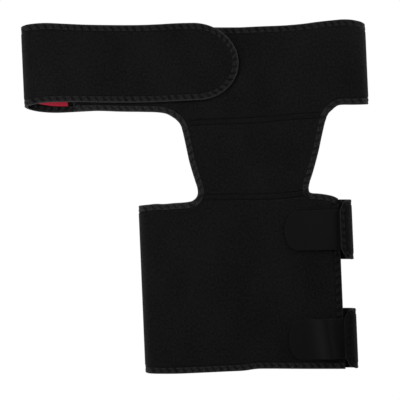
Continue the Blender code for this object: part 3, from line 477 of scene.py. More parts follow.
def railOf(parts):
    # the line of a tape or seam through several panels: point, side normal, place, panel
    spots = [(index, p) for index, (line, place) in enumerate(parts) for p in line]
    ways = []
    for (first, a), (second, b) in zip(spots, spots[1:]):
        if first != second:
            a, b = parts[first][1](a.x, a.y, 0), parts[second][1](b.x, b.y, 0)
        ways.append(Vector((b.x - a.x, b.y - a.y)).normalized())
    kept, lengths = [], []
    for (index, p), before, after in zip(spots, ways[:1] + ways, ways + ways[-1:]):
        a, b = Vector((-before.y, before.x)), Vector((-after.y, after.x))
        step = (p - kept[-1][0]).length if kept and kept[-1][3] == index else 0.0
        lengths.append(lengths[-1] + step if lengths else 0.0)
        kept.append((p, (a + b) / (1 + a.dot(b)), parts[index][1], index))
    return {"spots": kept, "lengths": lengths, "total": lengths[-1]}


def railFrame(rail, length):
    spots, lengths = rail["spots"], rail["lengths"]
    i = min(max(bisect_right(lengths, length) - 1, 0), len(spots) - 2)
    while i > 0 and spots[i + 1][3] != spots[i][3]:
        i -= 1
    (p, n, place, _), (q, m, _, _) = spots[i], spots[i + 1]
    share = (length - lengths[i]) / max(lengths[i + 1] - lengths[i], 1e-9)
    return place, p.lerp(q, share), n.lerp(m, min(max(share, 0), 1))


def railSpot(rail, length, u, v):
    place, p, n = railFrame(rail, length)
    return place(p.x + n.x * u, p.y + n.y * u, v)


def sweptPiece(name, rail, profileAt, around, material, step, **what):
    # a closed profile carried along a rail; profileAt(length) gives its points
    count = max(2, round(rail["total"] / step))
    lengths = [rail["total"] * k / count for k in range(count + 1)]
    for start, stop in zip(rail["lengths"], rail["lengths"][1:]):
        if start == stop:  # the step from one panel to the next keeps both of its rings
            lengths += [start - 1e-5, start + 1e-5]
    points, faces, corners, paintedTapeShades = [], [], [], []
    size = len(around) - 1
    lengths.sort()
    for length in lengths:
        place, p, n = railFrame(rail, length)
        # each profile point may carry its painted shade
        for u, v, *paintedTapeShade in profileAt(length):
            points.append(place(p.x + n.x * u, p.y + n.y * u, v))
            paintedTapeShades.append(paintedTapeShade[0] if paintedTapeShade else 0.0)
    for ring, (start, stop) in enumerate(zip(lengths, lengths[1:])):
        for i in range(size):
            a, b = ring * size, (ring + 1) * size
            j = (i + 1) % size
            faces.append([a + i, a + j, b + j, b + i])
            corners.append([(start, around[i]), (start, around[i + 1]),
                            (stop, around[i + 1]), (stop, around[i])])
    for ring in (0, len(lengths) - 1):
        loop = [ring * size + i for i in range(size)]
        faces.append(loop if ring else loop[::-1])
        corners.append([(lengths[ring], 0.0)] * size)
    return newPiece(name, points, faces, corners, material, paintedTapeShades=paintedTapeShades, **what)


def perimeter(profile):
    around = [0.0]
    for (a, b), (c, d) in zip(profile, profile[1:] + profile[:1]):
        around.append(around[-1] + math.hypot(c - a, d - b))
    return around


# zigzag that holds the tape: it pulls the soft tape in and leaves puffs between
zigzag = {
    "period": 0.0094, "inner": 0.0060, "outer": 0.0012, "radius": 0.0003,
    "narrowIn": 0.0013, "narrowOuter": 0.0009,  # on the tongues' narrower tape
    "dent": 0.0007, "dentWidth": 0.001, "ring": 0.0011,
    # width of the painted shade along a leg, and the painted shade of the lighter leg
    "paintedShadeWidth": 0.0022, "lighterLegShade": 0.05,
    "proud": 0.00008, "dive": 0.0003,  # the thread over its dent, and where it goes in
    "endShare": 0.55,  # of its radius
    # stitches come a little early or late: (amount, run, phase); the painted shade of their pull
    # swings about a mean
    "uneven": ((0.0010, 0.029, 0), (0.0006, 0.011, 1)),
    "strength": {"mean": 0.82, "swing": 0.18, "runs": (0.017, 0.0063), "phase": 2},
}
# what the material is told of a tape besides the stitches, as painted shade and painted highlight:
# higher is darker
tapeShade = {
    "backFrom": 0.6,  # the thread draws in the back alone, above this share of the edge's height
    "rimShadeFrom": 0.92, "rim": 0.8,  # painted shade along its inner edge
    "nose": (-0.0007, 0.0001), "noseHighlight": 0.1, "spanHighlight": 0.5,  # painted highlight over the cut edge, more over a given span
    # painted shade on whole tapes, as the light falls on each; below zero is painted light
    "paintedShade": {"beltTape": 0.2, "leftSideTape": -0.26, "wrapFrontEndTape": 0.6,
               "upperTongueTape": 0.5, "lowerTongueTape": 0.9},
}


def uneven(length):
    return sum(high * math.sin(length / run + phase) for high, run, phase in zigzag["uneven"])


def stitchShare(length):
    return ((length + uneven(length)) / zigzag["period"]) % 1


def zigzagAt(length, inner, outer):
    return inner + (outer - inner) * (1 - abs(2 * stitchShare(length) - 1))


# strength of the painted shade along the shaded legs
def strengthAt(length):
    paintedTapeShade = zigzag["strength"]
    longRun, shortRun = paintedTapeShade["runs"]
    swing = math.sin(length / longRun) * math.sin(length / shortRun + paintedTapeShade["phase"])
    return paintedTapeShade["mean"] + paintedTapeShade["swing"] * swing


def tapePiece(name, rail, width, side, inner, outer, highlightSpan=(0, 0), **what):
    # edge tape folded over the cut edge: rounded outside, a slot for the foam inside
    crown, edge, turnIn = tape["crown"], tape["edge"], tape["turnIn"]
    over = [(width - back, edge - down) for back, down in tape["rim"]]
    for share in tape["across"]:
        bulge = math.sin(math.pi * min(1, tape["bulge"] - share))
        over.append((width * share, edge + (crown - edge) * bulge))
    for step in range(1, tape["turnSteps"] + 1):
        angle = math.pi / 2 * (1 - step / tape["turnSteps"])
        over.append((turnIn - (tape["nose"] + turnIn) * math.cos(angle),
                     (crown - tape["turnDrop"]) * math.sin(angle)))
    slot = cloth["squeezed"] / 2 + tape["play"]
    slotLine = [(width, -slot), (0, -slot), (0, slot), (width, slot)]
    around = perimeter(over + [(u, -v) for u, v in reversed(over[:-1])] + slotLine)
    lean = math.cos(math.atan((inner - outer) / (zigzag["period"] / 2)))
    # painted shade of this whole tape
    paintedShade = tapeShade["paintedShade"].get(name, 0.0)
    noseFrom, noseTo = tapeShade["nose"]

    def profileAt(length):
        # the attribute tells the material where to paint shade: in the lines where the thread draws
        # the tape in, every other leg shaded more; the tape's other painted shade and highlight go
        # on top
        line = zigzagAt(length, inner, outer)
        shadedLeg = (stitchShare(length) < 0.5) == (side > 0)
        strength = strengthAt(length) if shadedLeg else zigzag["lighterLegShade"]
        # painted highlight on the nose, stronger along the given span
        highlight = tapeShade["noseHighlight"]
        highlight += tapeShade["spanHighlight"] * (highlightSpan[0] < length < highlightSpan[1])
        bent = []
        for u, v in over:
            near, wide = 0.0, 0.0
            if v > edge * tapeShade["backFrom"]:
                away = (u - line) * lean
                near, wide = [math.exp(-(away / zigzag[key]) ** 2)
                              for key in ("dentWidth", "paintedShadeWidth")]
            paintedTapeShade = wide * strength + paintedShade
            # painted shade along the tape's inner edge
            if u > width * tapeShade["rimShadeFrom"]:
                paintedTapeShade = tapeShade["rim"]
            elif noseFrom < u < noseTo:
                paintedTapeShade = paintedShade - highlight
            bent.append((u, v - zigzag["dent"] * near, paintedTapeShade))
        whole = bent + [(u, -v, paintedTapeShade) for u, v, paintedTapeShade in reversed(bent[:-1])]
        whole += [(u, v, 0.0) for u, v in slotLine]
        return [(u * side, v, paintedTapeShade) for u, v, paintedTapeShade in whole]
    return sweptPiece(name, rail, profileAt, around, binding, zigzag["ring"],
                      slot="binding_tape", **what)


def threadRuns(name, runs, radius, material, **what):
    # short lengths of thread: each is a row of points, a four-sided tube with closed ends
    points, faces, corners = [], [], []
    for run in runs:
        base = len(points)
        for k, p in enumerate(run):
            way = (run[min(k + 1, len(run) - 1)] - run[max(k - 1, 0)]).normalized()
            side = way.cross(Vector((0, 0, 1)))
            side = side.normalized() if side.length > 0.05 else Vector((1, 0, 0))
            up = side.cross(way).normalized()
            thick = radius * (zigzag["endShare"] if k in (0, len(run) - 1) else 1)
            points += [p + side * thick, p + up * thick, p - side * thick, p - up * thick]
        for k in range(len(run) - 1):
            for i in range(4):
                j = (i + 1) % 4
                a, b = base + 4 * k, base + 4 * k + 4
                faces.append([a + i, a + j, b + j, b + i])
                corners.append([(k, i / 4), (k, (i + 1) / 4), (k + 1, (i + 1) / 4), (k + 1, i / 4)])
        for k in (0, len(run) - 1):
            faces.append([base + 4 * k + i for i in (range(4) if k else reversed(range(4)))])
            corners.append([(k, 0.0)] * 4)
    return newPiece(name, points, faces, corners, material, roundAngle=80, **what)


def zigzagRuns(rail, side, inner, outer):
    # the thread of the zigzag, on both faces of a tape
    runs, leg = [], zigzag["period"] / 2
    for face in (1, -1):
        for k in range(int(rail["total"] / leg)):
            run = []
            for j in range(5):
                length = leg * (k + j / 4)
                length -= uneven(length - uneven(length))
                length = min(max(length, 0), rail["total"])
                deep = zigzag["dent"] - zigzag["proud"] + zigzag["dive"] * abs(j / 2 - 1) ** 4
                run.append(railSpot(rail, length, zigzagAt(length, inner, outer) * side,
                                    (tape["crown"] - deep) * face))
            runs.append(run)
    return runs


# materials
def hexColour(text):
    parts = [int(text[i:i + 2], 16) / 255 for i in (1, 3, 5)]
    return (*[c / 12.92 if c <= 0.04045 else ((c + 0.055) / 1.055) ** 2.4 for c in parts], 1)


def addNode(tree, kind, settings=None, links=None):
    node = tree.nodes.new(kind)
    for key, value in (settings or {}).items():
        if isinstance(key, int) or key in node.inputs:
            node.inputs[key].default_value = value
        else:
            setattr(node, key, value)
    for key, source in (links or {}).items():
        tree.links.new(source, node.inputs[key])
    return node


def newMaterial(name, **shader):
    material = bpy.data.materials.new(name)
    material.use_nodes = True
    tree = material.node_tree
    tree.nodes.clear()
    output = addNode(tree, "ShaderNodeOutputMaterial")
    surface = addNode(tree, "ShaderNodeBsdfPrincipled", shader)
    tree.links.new(surface.outputs["BSDF"], output.inputs["Surface"])
    return material, tree, surface


def knittedNeoprene(name, dark, light):
    # polyester jersey laminated on neoprene foam, dyed black: dull, with a faint vertical rib
    material, tree, surface = newMaterial(name, **{
        "Roughness": 0.9, "IOR": 1.45, "Specular IOR Level": 0.25, "Sheen Weight": 0.06,
        "Sheen Roughness": 0.5, "Sheen Tint": hexColour("#8c8c8c")})
    # metres across and along: stitch columns of jersey are 0.8 mm apart, drawn 2.4 mm apart so
    # that they show; its loops are drawn 1.2 mm apart; handling leaves patches of 50 to 90 mm
    sizes = {"fuzz": (0.0024, 0.0032), "loops": (0.0012, 0.0012), "patches": (0.05, 0.09)}
    cut = addNode(tree, "ShaderNodeUVMap", {"uv_map": "cut"})
    cells = {part: addNode(tree, "ShaderNodeMapping", {"Scale": (1 / across, 1 / along, 1)},
                           {"Vector": cut.outputs["UV"]}).outputs["Vector"]
             for part, (across, along) in sizes.items()}
    fuzz = addNode(tree, "ShaderNodeTexNoise", {"Scale": 1.0, "Detail": 3.0, "Roughness": 0.65},
                   {"Vector": cells["fuzz"]})
    cloud = addNode(tree, "ShaderNodeTexNoise", {"Scale": 1.0, "Detail": 2.0},
                    {"Vector": cells["patches"]})
    both = addNode(tree, "ShaderNodeMath", {"operation": "MULTIPLY_ADD", 1: 0.35},
                   {0: cloud.outputs["Fac"], 2: fuzz.outputs["Fac"]})
    shade = addNode(tree, "ShaderNodeValToRGB", None, {"Fac": both.outputs["Value"]})
    first, second = shade.color_ramp.elements
    first.position, second.position = 0.5, 0.88
    first.color, second.color = hexColour(dark), hexColour(light)
    tree.links.new(shade.outputs["Color"], surface.inputs["Base Color"])
    # the wave's own scale makes one band of each cell
    wales = addNode(tree, "ShaderNodeTexWave",
                    {"bands_direction": "X", "Scale": 0.31416, "Distortion": 1.2, "Detail": 1.0},
                    {"Vector": cells["loops"]})
    grain = addNode(tree, "ShaderNodeMath", {"operation": "ADD"},
                    {0: wales.outputs["Fac"], 1: fuzz.outputs["Fac"]})
    bump = addNode(tree, "ShaderNodeBump", {"Strength": 0.5, "Distance": 0.00025},
                   {"Height": grain.outputs["Value"]})
    tree.links.new(bump.outputs["Normal"], surface.inputs["Normal"])
    return material


def wovenCloth(name, spacing, colours, relief, weaving, stops=(0, 1), turned=0.0, **shader):
    # threads that cross; spacing in metres, relief: strength and depth of the bump, weaving:
    # detail and roughness of the pattern
    material, tree, surface = newMaterial(name, **shader)
    cut = addNode(tree, "ShaderNodeUVMap", {"uv_map": "cut"})
    cells = addNode(tree, "ShaderNodeMapping",
                    {"Scale": (1 / spacing[0], 1 / spacing[1], 1), "Rotation": (0, 0, turned)},
                    {"Vector": cut.outputs["UV"]})
    weave = addNode(tree, "ShaderNodeTexNoise",
                    {"Scale": 1.0, "Detail": weaving[0], "Roughness": weaving[1]},
                    {"Vector": cells.outputs["Vector"]})
    shade = addNode(tree, "ShaderNodeValToRGB", None, {"Fac": weave.outputs["Fac"]})
    first, second = shade.color_ramp.elements
    first.position, second.position = stops
    first.color, second.color = [hexColour(colour) for colour in colours]
    tree.links.new(shade.outputs["Color"], surface.inputs["Base Color"])
    bump = addNode(tree, "ShaderNodeBump", {"Strength": relief[0], "Distance": relief[1]},
                   {"Height": weave.outputs["Fac"]})
    tree.links.new(bump.outputs["Normal"], surface.inputs["Normal"])
    return material, tree, surface, shade


def wovenTape(name, dark, light, rough):
    # knitted nylon binding: lengthwise ribs, a little shinier than the jersey; ribs 0.5 mm apart
    # across the tape, drawn 1.3 mm apart, and knops along them
    material, tree, surface, shade = wovenCloth(
        name, (0.0022, 0.0013), (dark, light), (0.6, 0.0003), (2.0, 0.6), (0.35, 0.7), **{
            "Roughness": rough, "IOR": 1.53, "Specular IOR Level": 0.2, "Sheen Weight": 0.06,
            "Sheen Roughness": 0.4})
    # painted light and shade: puffs between the stitches are painted lighter, the drawn-in lines are
    # painted in shade
    paintedTapeShade = addNode(tree, "ShaderNodeAttribute", {"attribute_name": "paintedTapeShade"})
    paintedLightScale = addNode(tree, "ShaderNodeMapRange",
                   {"From Min": -1.0, "From Max": 1.0, "To Min": 4.0, "To Max": 0.2},
                   {"Value": paintedTapeShade.outputs["Fac"]})
    tone = addNode(tree, "ShaderNodeVectorMath", {"operation": "SCALE"},
                   {0: shade.outputs["Color"], "Scale": paintedLightScale.outputs["Result"]})
    tree.links.new(tone.outputs["Vector"], surface.inputs["Base Color"])
    return material


jersey = knittedNeoprene("blackJerseyNeoprene", "#0e0e0e", "#232323")
# the tongues' jersey: the same jersey with painted shade, a shade darker
shadedTongueJersey = knittedNeoprene("blackJerseyNeoprenePaintedShade", "#0a0a0a", "#1b1b1b")
# nylon tape is the palest cloth here, and gives the brace its outline
binding = wovenTape("blackBindingTape", "#181818", "#2a2a2a", 0.75)
# twisted polyester thread: near black, it draws a dark line in each dent of the tape
thread = wovenTape("blackPolyesterThread", "#080808", "#0d0d0d", 0.6)
# smooth woven nylon back of hook tape: closer to satin than the jersey; threads drawn 1.1 mm apart
hookBack = wovenCloth("blackNylonHookBack", (0.0011, 0.0011), ("#191919", "#202020"),
                      (0.25, 0.0001), (1.0, 0.5),
                      **{"Roughness": 0.6, "IOR": 1.53, "Specular IOR Level": 0.12})[0]
# damask-woven polyester label, bare: satin red with a fine twill, drawn 1.2 by 0.6 mm
redSatin = wovenCloth("redSatinLabel", (0.0012, 0.0006), ("#f02a46", "#ff3c5a"),
                      (0.3, 0.0001), (1.0, 0.5), turned=0.7,
                      **{"Roughness": 0.5, "IOR": 1.5, "Specular IOR Level": 0.25,
                         "Sheen Weight": 0.03, "Sheen Roughness": 0.4})[0]
print("materials made")

# lines that several pieces share
reach = belt["width"] / 2 - cloth["wall"] / 2
rightX, leftX = reach - belt["rightRadius"], belt["leftRadius"] - reach
stations = [(belt["innerEnd"] - belt["width"] / 2, frontZ)]
straight(stations, (rightX - belt["foldRun"], frontZ))
slope(stations, (rightX, rearZ + 2 * belt["rightRadius"]))
turn(stations, (rightX, rearZ + belt["rightRadius"]), belt["rightRadius"], 90, -180)
straight(stations, (leftX, rearZ))
turn(stations, (leftX, rearZ + belt["leftRadius"]), belt["leftRadius"], -90, -180)
slope(stations, (leftX + belt["overlapRun"], overlapZ), 30)
straight(stations, (belt["roundStart"] + belt["roundLength"] - belt["width"] / 2, overlapZ))
beltFold = foldLine(stations, belt["lean"], beltY)
rightFold = furthest(beltFold, 1)
leftFold = furthest(beltFold, -1, rightFold)
roundStart = lengthAt(beltFold, belt["roundStart"] - belt["width"] / 2, leftFold, beltFold["total"])

foldX = wrap["offset"] - wrap["width"] / 2 + cloth["wall"] / 2 + wrap["radius"]
stations = [(wrapEndX, rearZ)]
straight(stations, (foldX, rearZ))
turn(stations, (foldX, rearZ + wrap["radius"]), wrap["radius"], -90, -180)
slope(stations, (foldX + wrap["foldRun"], frontZ))
straight(stations, (wrapEndX, frontZ))
wrapFold = foldLine(stations, wrap["lean"], wrapY)
wrapTurn = furthest(wrapFold, -1)

radius = (tongueZ - rearZ) / 2
bendX = wrapEndX + tongue["reach"] - cloth["wall"] / 2 - radius
stations = [(wrapEndX + 2 * cloth["seamHalfGap"], rearZ), (bendX, rearZ)]
turn(stations, (bendX, rearZ + radius), radius, -90, 180)
straight(stations, (wrapEndX + tongueFront, tongueZ))
tongueFold = foldLine(stations, wrap["lean"], wrapY)

onBelt, onWrap, onTongue = placeOn(beltFold), placeOn(wrapFold), placeOn(tongueFold)


def seamLine(rows, middle, height):
    return curveThrough([(hip["offset"] + share * hip["topWidth"] / 2, middle + rise * height)
                         for share, rise in rows])


beltSeam = seamLine(belt["seam"], beltY, belt["height"])
wrapSeam = seamLine(wrap["seam"], wrapY, wrap["height"])


def onHip(x, y, h):
    # between the two seams the panel sags a little
    top = beltY + belt["seam"][0][1] * belt["height"]
    bottom = wrapY + wrap["seam"][-1][1] * wrap["height"]
    share = min(max((y - bottom) / (top - bottom), 0), 1)
    sag = hip["sag"] * math.sin(math.pi * share) ** 2
    fall = hip["sag"] * math.pi / (top - bottom) * math.sin(2 * math.pi * share)
    normal = Vector((0, fall, 1)).normalized()
    return Vector((x, y, frontZ - sag + ripple(x, y))) + normal * h


def hipSide(rows, sign, top, bottom):
    return [(hip["offset"] + sign * out * hip["topWidth"] / 2, top.y + down * (bottom.y - top.y))
            for down, out in rows]


def beltRow(name, start, end):
    return sized(belt[name], start, end, beltY, belt["height"])


def beltRise(name):
    return beltY + belt[name] * belt["height"]


def wrapRow(name, start, end):
    return sized(wrap[name], start, end, wrapY, wrap["height"])


def wrapRise(name):
    return wrapY + wrap[name] * wrap["height"]


beltLeftX = belt["innerEnd"] - belt["width"] / 2
beltLeftX -= belt["lean"] * belt["leftOfHip"][0][1] * belt["height"]
beltRightX = belt["width"] / 2 - belt["lean"] * belt["rightFoldBottom"] * belt["height"]
wrapLeftX = foldX - wrap["lean"] * wrap["height"] / 2
wrapRightX = wrapEndX - wrap["lean"] * wrap["endTop"] * wrap["height"]
leftRuns = splitCurve((
    beltRow("leftOfHip", beltLeftX, beltSeam[0].x) + [tuple(beltSeam[0])],
    hipSide(hip["left"], -1, beltSeam[0], wrapSeam[0]) + [tuple(wrapSeam[0])],
    wrapRow("leftTop", wrapSeam[0].x, wrapLeftX)))
rightRuns = splitCurve((
    beltRow("rightOfHip", beltSeam[-1].x, beltRightX)[::-1] + [tuple(beltSeam[-1])],
    hipSide(hip["right"], 1, beltSeam[-1], wrapSeam[-1]) + [tuple(wrapSeam[-1])],
    wrapRow("rightTop", wrapSeam[-1].x, wrapRightX) + [(wrapRightX, wrapRise("endTop"))]))
# the cut edges of the foam lie inside the nose of the tape
nose = tape["nose"]
leftCut = moved(leftRuns[0][:-1] + leftRuns[1][:-1] + leftRuns[2], nose)
rightCut = moved(rightRuns[0][:-1] + rightRuns[1][:-1] + rightRuns[2], -nose)


def panelEdges(line, up):
    # a seam's side of a panel, between the two side edges, and where it meets them
    line = lifted(line, up)
    a, b = crossing(leftCut, line), crossing(rightCut, line)
    return [a[2], *line[a[1] + 1:b[1] + 1], b[2]], a[0], b[0]


halfGap = cloth["seamHalfGap"]
beltLow, beltLowLeft, beltLowRight = panelEdges(beltSeam, halfGap)
hipHigh, hipHighLeft, hipHighRight = panelEdges(beltSeam, -halfGap)
hipLow, hipLowLeft, hipLowRight = panelEdges(wrapSeam, halfGap)
wrapHigh, wrapHighLeft, wrapHighRight = panelEdges(wrapSeam, -halfGap)
bound, sewn = tape["width"], cloth["seamFlange"]
cornerRun = bound + 2 * cloth["swellRun"]
nearPoints = cloth["cornerPoints"]


def besides(*spots):
    return [s + side for s in spots for side in (-cloth["beside"], cloth["beside"])]


def cornersAt(*spots):
    # where a tape runs off the end of a sewn edge
    return [(s - cornerRun, s + cornerRun, distanceTo(line), bound) for s, line in spots]


# waist belt
leftCutBelt = onFold(beltFold, leftCut[:beltLowLeft + 1], 0, rightFold)
rightCutBelt = onFold(beltFold, rightCut[:beltLowRight + 1][::-1], 0, rightFold)
seamOnBelt = onFold(beltFold, beltLow, 0, rightFold)
roundLow = moved(curveThrough(
    [tuple(onFold(beltFold, [rightRuns[0][0]], 0, rightFold)[0]),
     (rightFold, beltRise("rightFoldBottom"))]
    + beltRow("rearBottom", rightFold, leftFold) + [(leftFold, beltRise("leftFoldBottom"))]
    + beltRow("overlapBottom", leftFold, roundStart)), nose)
roundHigh = moved(curveThrough(
    beltRow("frontTop", 0.0, rightFold) + [(rightFold, beltRise("rightFoldTop"))]
    + beltRow("rearTop", rightFold, leftFold) + [(leftFold, beltRise("leftFoldTop"))]
    + beltRow("overlapTop", leftFold, roundStart)), -nose)
beltBottom = heightAlong(leftCutBelt + seamOnBelt + rightCutBelt[:-1] + roundLow)
beltTop = heightAlong(roundHigh)
seamStart, seamStop = seamOnBelt[0].x, seamOnBelt[-1].x
tip = (roundLow[-1] + roundHigh[-1]) / 2
roundHalf = (roundHigh[-1] - roundLow[-1]).length / 2
roundLength = belt["roundLength"] - nose


def beltLowRim(s):
    return sewn if seamStart < s < seamStop else bound


columns = columnsOf(beltFold, nose, roundStart,
                    [nose + d for d in rimSteps(bound)[1:]] + besides(seamStart, seamStop))
grid = stripGrid(columns, beltBottom, beltTop, beltLowRim, lambda s: bound,
                 [(nose, lambda y: bound)], cloth["beltRows"],
                 cornersAt((seamStart, leftCutBelt[-nearPoints:]),
                           (seamStop, rightCutBelt[:nearPoints])))
foot, tall = beltBottom(roundStart), beltTop(roundStart) - beltBottom(roundStart)
shares = [abs((y - foot) / tall * 2 - 1) for _, y, _ in grid[-1]]
shares = [0.0] + shares[:len(shares) // 2][::-1]
grids = roundEnd(grid, (roundStart, tip.y), roundLength, roundHalf, shares, cloth["roundSteps"],
                 lambda depth: swollen([(depth, bound)]))
beltFabric = clothPiece("waistBeltFabric", grids, onBelt, jersey, node="waist_belt",
                        slot="neoprene_knit")
print("waist belt:", len(beltFabric.data.polygons), "faces")

# hip panel
leftEdge = [hipHigh[0], *leftCut[hipHighLeft + 1:hipLowLeft + 1], hipLow[0]]
rightEdge = [hipHigh[-1], *rightCut[hipHighRight + 1:hipLowRight + 1], hipLow[-1]]


def along(line, share):
    lengths = [0.0]
    for a, b in zip(line, line[1:]):
        lengths.append(lengths[-1] + (b - a).length)
    target = share * lengths[-1]
    i = min(max(bisect_right(lengths, target) - 1, 0), len(line) - 2)
    return line[i].lerp(line[i + 1], (target - lengths[i]) / max(lengths[i + 1] - lengths[i], 1e-9))


def hipSpot(u, v):
    # Coons patch: u from the left edge, v from the lower seam
    bottomSpot, topSpot = along(hipLow, u), along(hipHigh, u)
    leftSpot, rightSpot = along(leftEdge, 1 - v), along(rightEdge, 1 - v)
    corners = (hipLow[0] * (1 - u) + hipLow[-1] * u) * (1 - v)
    corners += (hipHigh[0] * (1 - u) + hipHigh[-1] * u) * v
    return bottomSpot * (1 - v) + topSpot * v + leftSpot * (1 - u) + rightSpot * u - corners


tall = (along(hipHigh, 0.5) - along(hipLow, 0.5)).length
rowsOfHip = []
for v in [d / tall for d in spread(tall, sewn, sewn, hip["rows"])]:
    wide = (along(rightEdge, 1 - v) - along(leftEdge, 1 - v)).length
    row = []
    for d in spread(wide, bound, bound, hip["columns"]):
        spot = hipSpot(d / wide, v)
        depths = [(d, bound), (wide - d, bound), (v * tall, sewn), ((1 - v) * tall, sewn)]
        row.append((spot.x, spot.y, swollen(depths)))
    rowsOfHip.append(row)
hipGrid = [list(column) for column in zip(*rowsOfHip)]
hipFabric = clothPiece("hipPanelFabric", [hipGrid], onHip, jersey, node="hip_panel",
                       slot="neoprene_knit")
print("hip panel:", len(hipFabric.data.polygons), "faces")

# thigh wrap
wrapTotal = wrapFold["total"]
endLow, endHigh = wrapRise("endBottom"), wrapRise("endTop")
wrapLow = moved(curveThrough(
    [(0.0, endLow)] + wrapRow("rearBottom", wrapTurn, 0.0)[::-1]
    + [(wrapTurn, wrapRise("foldBottom"))]
    + wrapRow("frontBottom", wrapTurn, wrapTotal) + [(wrapTotal, endLow)]), nose)
leftCutWrap = onFold(wrapFold, leftCut[wrapHighLeft + 1:], wrapTurn, wrapTotal)
rightCutWrap = onFold(wrapFold, rightCut[wrapHighRight + 1:], wrapTurn, wrapTotal)
seamOnWrap = onFold(wrapFold, wrapHigh, wrapTurn, wrapTotal)
overFold = moved(curveThrough(
    [(0.0, endHigh)] + wrapRow("rearTop", wrapTurn, 0.0)[::-1]
    + [(wrapTurn, wrapRise("foldTop")),
       tuple(onFold(wrapFold, [leftRuns[2][-1]], wrapTurn, wrapTotal)[0])]), -nose)
wrapTop = heightAlong(overFold[:-1] + leftCutWrap[::-1] + seamOnWrap + rightCutWrap)
wrapBottom = heightAlong(wrapLow)
wrapSeamStart, wrapSeamStop = seamOnWrap[0].x, seamOnWrap[-1].x
tongueSpans = {
    "upper": (endHigh - tongue["inset"] - tongue["height"], endHigh - tongue["inset"]),
    "lower": (endLow + tongue["inset"], endLow + tongue["inset"] + tongue["height"]),
}


def rearRim(y):
    return bound if tongueSpans["lower"][1] < y < tongueSpans["upper"][0] else sewn


def wrapHighRim(s):
    return sewn if wrapSeamStart < s < wrapSeamStop else bound


wrapStop = wrapTotal - nose
columns = columnsOf(wrapFold, 0.0, wrapStop,
                    [wrapStop - d for d in rimSteps(bound)[1:]] + rimSteps(bound)[1:]
                    + rimSteps(sewn)[1:] + besides(wrapSeamStart, wrapSeamStop))
grid = stripGrid(columns, wrapBottom, wrapTop, lambda s: bound, wrapHighRim,
                 [(wrapStop, lambda y: bound), (0.0, rearRim)], cloth["wrapRows"],
                 cornersAt((wrapSeamStart, leftCutWrap[:nearPoints]),
                           (wrapSeamStop, rightCutWrap[:nearPoints])))
wrapFabric = clothPiece("thighWrapFabric", [grid], onWrap, jersey, node="thigh_wrap",
                        slot="neoprene_knit")
print("thigh wrap:", len(wrapFabric.data.polygons), "faces")


# edge tapes of the belt, the hip panel and the wrap
def lineBetween(line, start, stop):
    # the stretch of a pattern line between two lengths along the strip
    edge = heightAlong(line if line[0].x < line[-1].x else line[::-1])
    inner = [p for p in line if start < p.x < stop]
    ends = [Vector((start, edge(start))), Vector((stop, edge(stop)))]
    return [ends[0], *inner, ends[1]] if line[0].x < line[-1].x else [ends[1], *inner, ends[0]]


def upright(s, low, high, steps):
    # a straight line across the strip
    return [Vector((s, low + (high - low) * k / steps)) for k in range(steps + 1)]


rearMiddle = (rightFold + leftFold) / 2
tipLine = []
for k in range(1, 60):
    angle = math.pi * (k / 60 - 0.5)
    tipLine.append(tip + Vector((roundLength * math.cos(angle), roundHalf * math.sin(angle))))
beltAround = lineBetween(roundLow, rearMiddle + cloth["gap"], roundStart) + tipLine + roundHigh[::-1]
downBelt = lineBetween(roundLow, roundLow[0].x, rearMiddle)[::-1] + rightCutBelt[:-1][::-1][1:]
underTongue = 0.002  # how far the rear end's tape runs on under each tongue
tapeLines = {  # the panels a tape runs over, its side, its node
    "beltTape": ([(beltAround, onBelt)], 1, "belt_binding"),
    "rightSideTape": ([(downBelt, onBelt), (rightEdge[1:-1], onHip), (rightCutWrap, onWrap)],
                      -1, "right_side_binding"),
    "leftSideTape": ([(leftCutBelt, onBelt), (leftEdge[1:-1], onHip),
                      (leftCutWrap + overFold[:-1][::-1], onWrap)], 1, "left_side_binding"),
    "wrapBottomTape": ([(wrapLow, onWrap)], 1, "thigh_bottom_binding"),
    "beltEndTape": ([(upright(nose, beltBottom(nose), beltTop(nose), 20)[19:0:-1], onBelt)],
                    1, "belt_end_binding"),
    "wrapFrontEndTape": ([(upright(wrapStop, endLow + bound, endHigh - bound, 50), onWrap)],
                         1, "thigh_front_end_binding"),
    "wrapRearEndTape": ([(upright(nose, tongueSpans["upper"][0] - underTongue,
                                  tongueSpans["lower"][1] + underTongue, 20), onWrap)],
                        1, "thigh_rear_end_binding"),
}
# painted highlight along the free edge of the overlap, round its end
overlapHighlightSpan = (leftFold - rearMiddle, roundStart - rearMiddle + math.pi * roundHalf)
tapePieces, stitchRuns = {}, {"belt": [], "wrap": []}
for name, (panels, side, node) in tapeLines.items():
    rail = railOf(panels)
    stitching = (side, zigzag["inner"], zigzag["outer"])
    tapePieces[name] = tapePiece(name, rail, bound, *stitching,
                                 overlapHighlightSpan if name == "beltTape" else (0, 0), node=node)
    stitchRuns["belt" if name.startswith("belt") else "wrap"] += zigzagRuns(rail, *stitching)
print("edge tapes made")

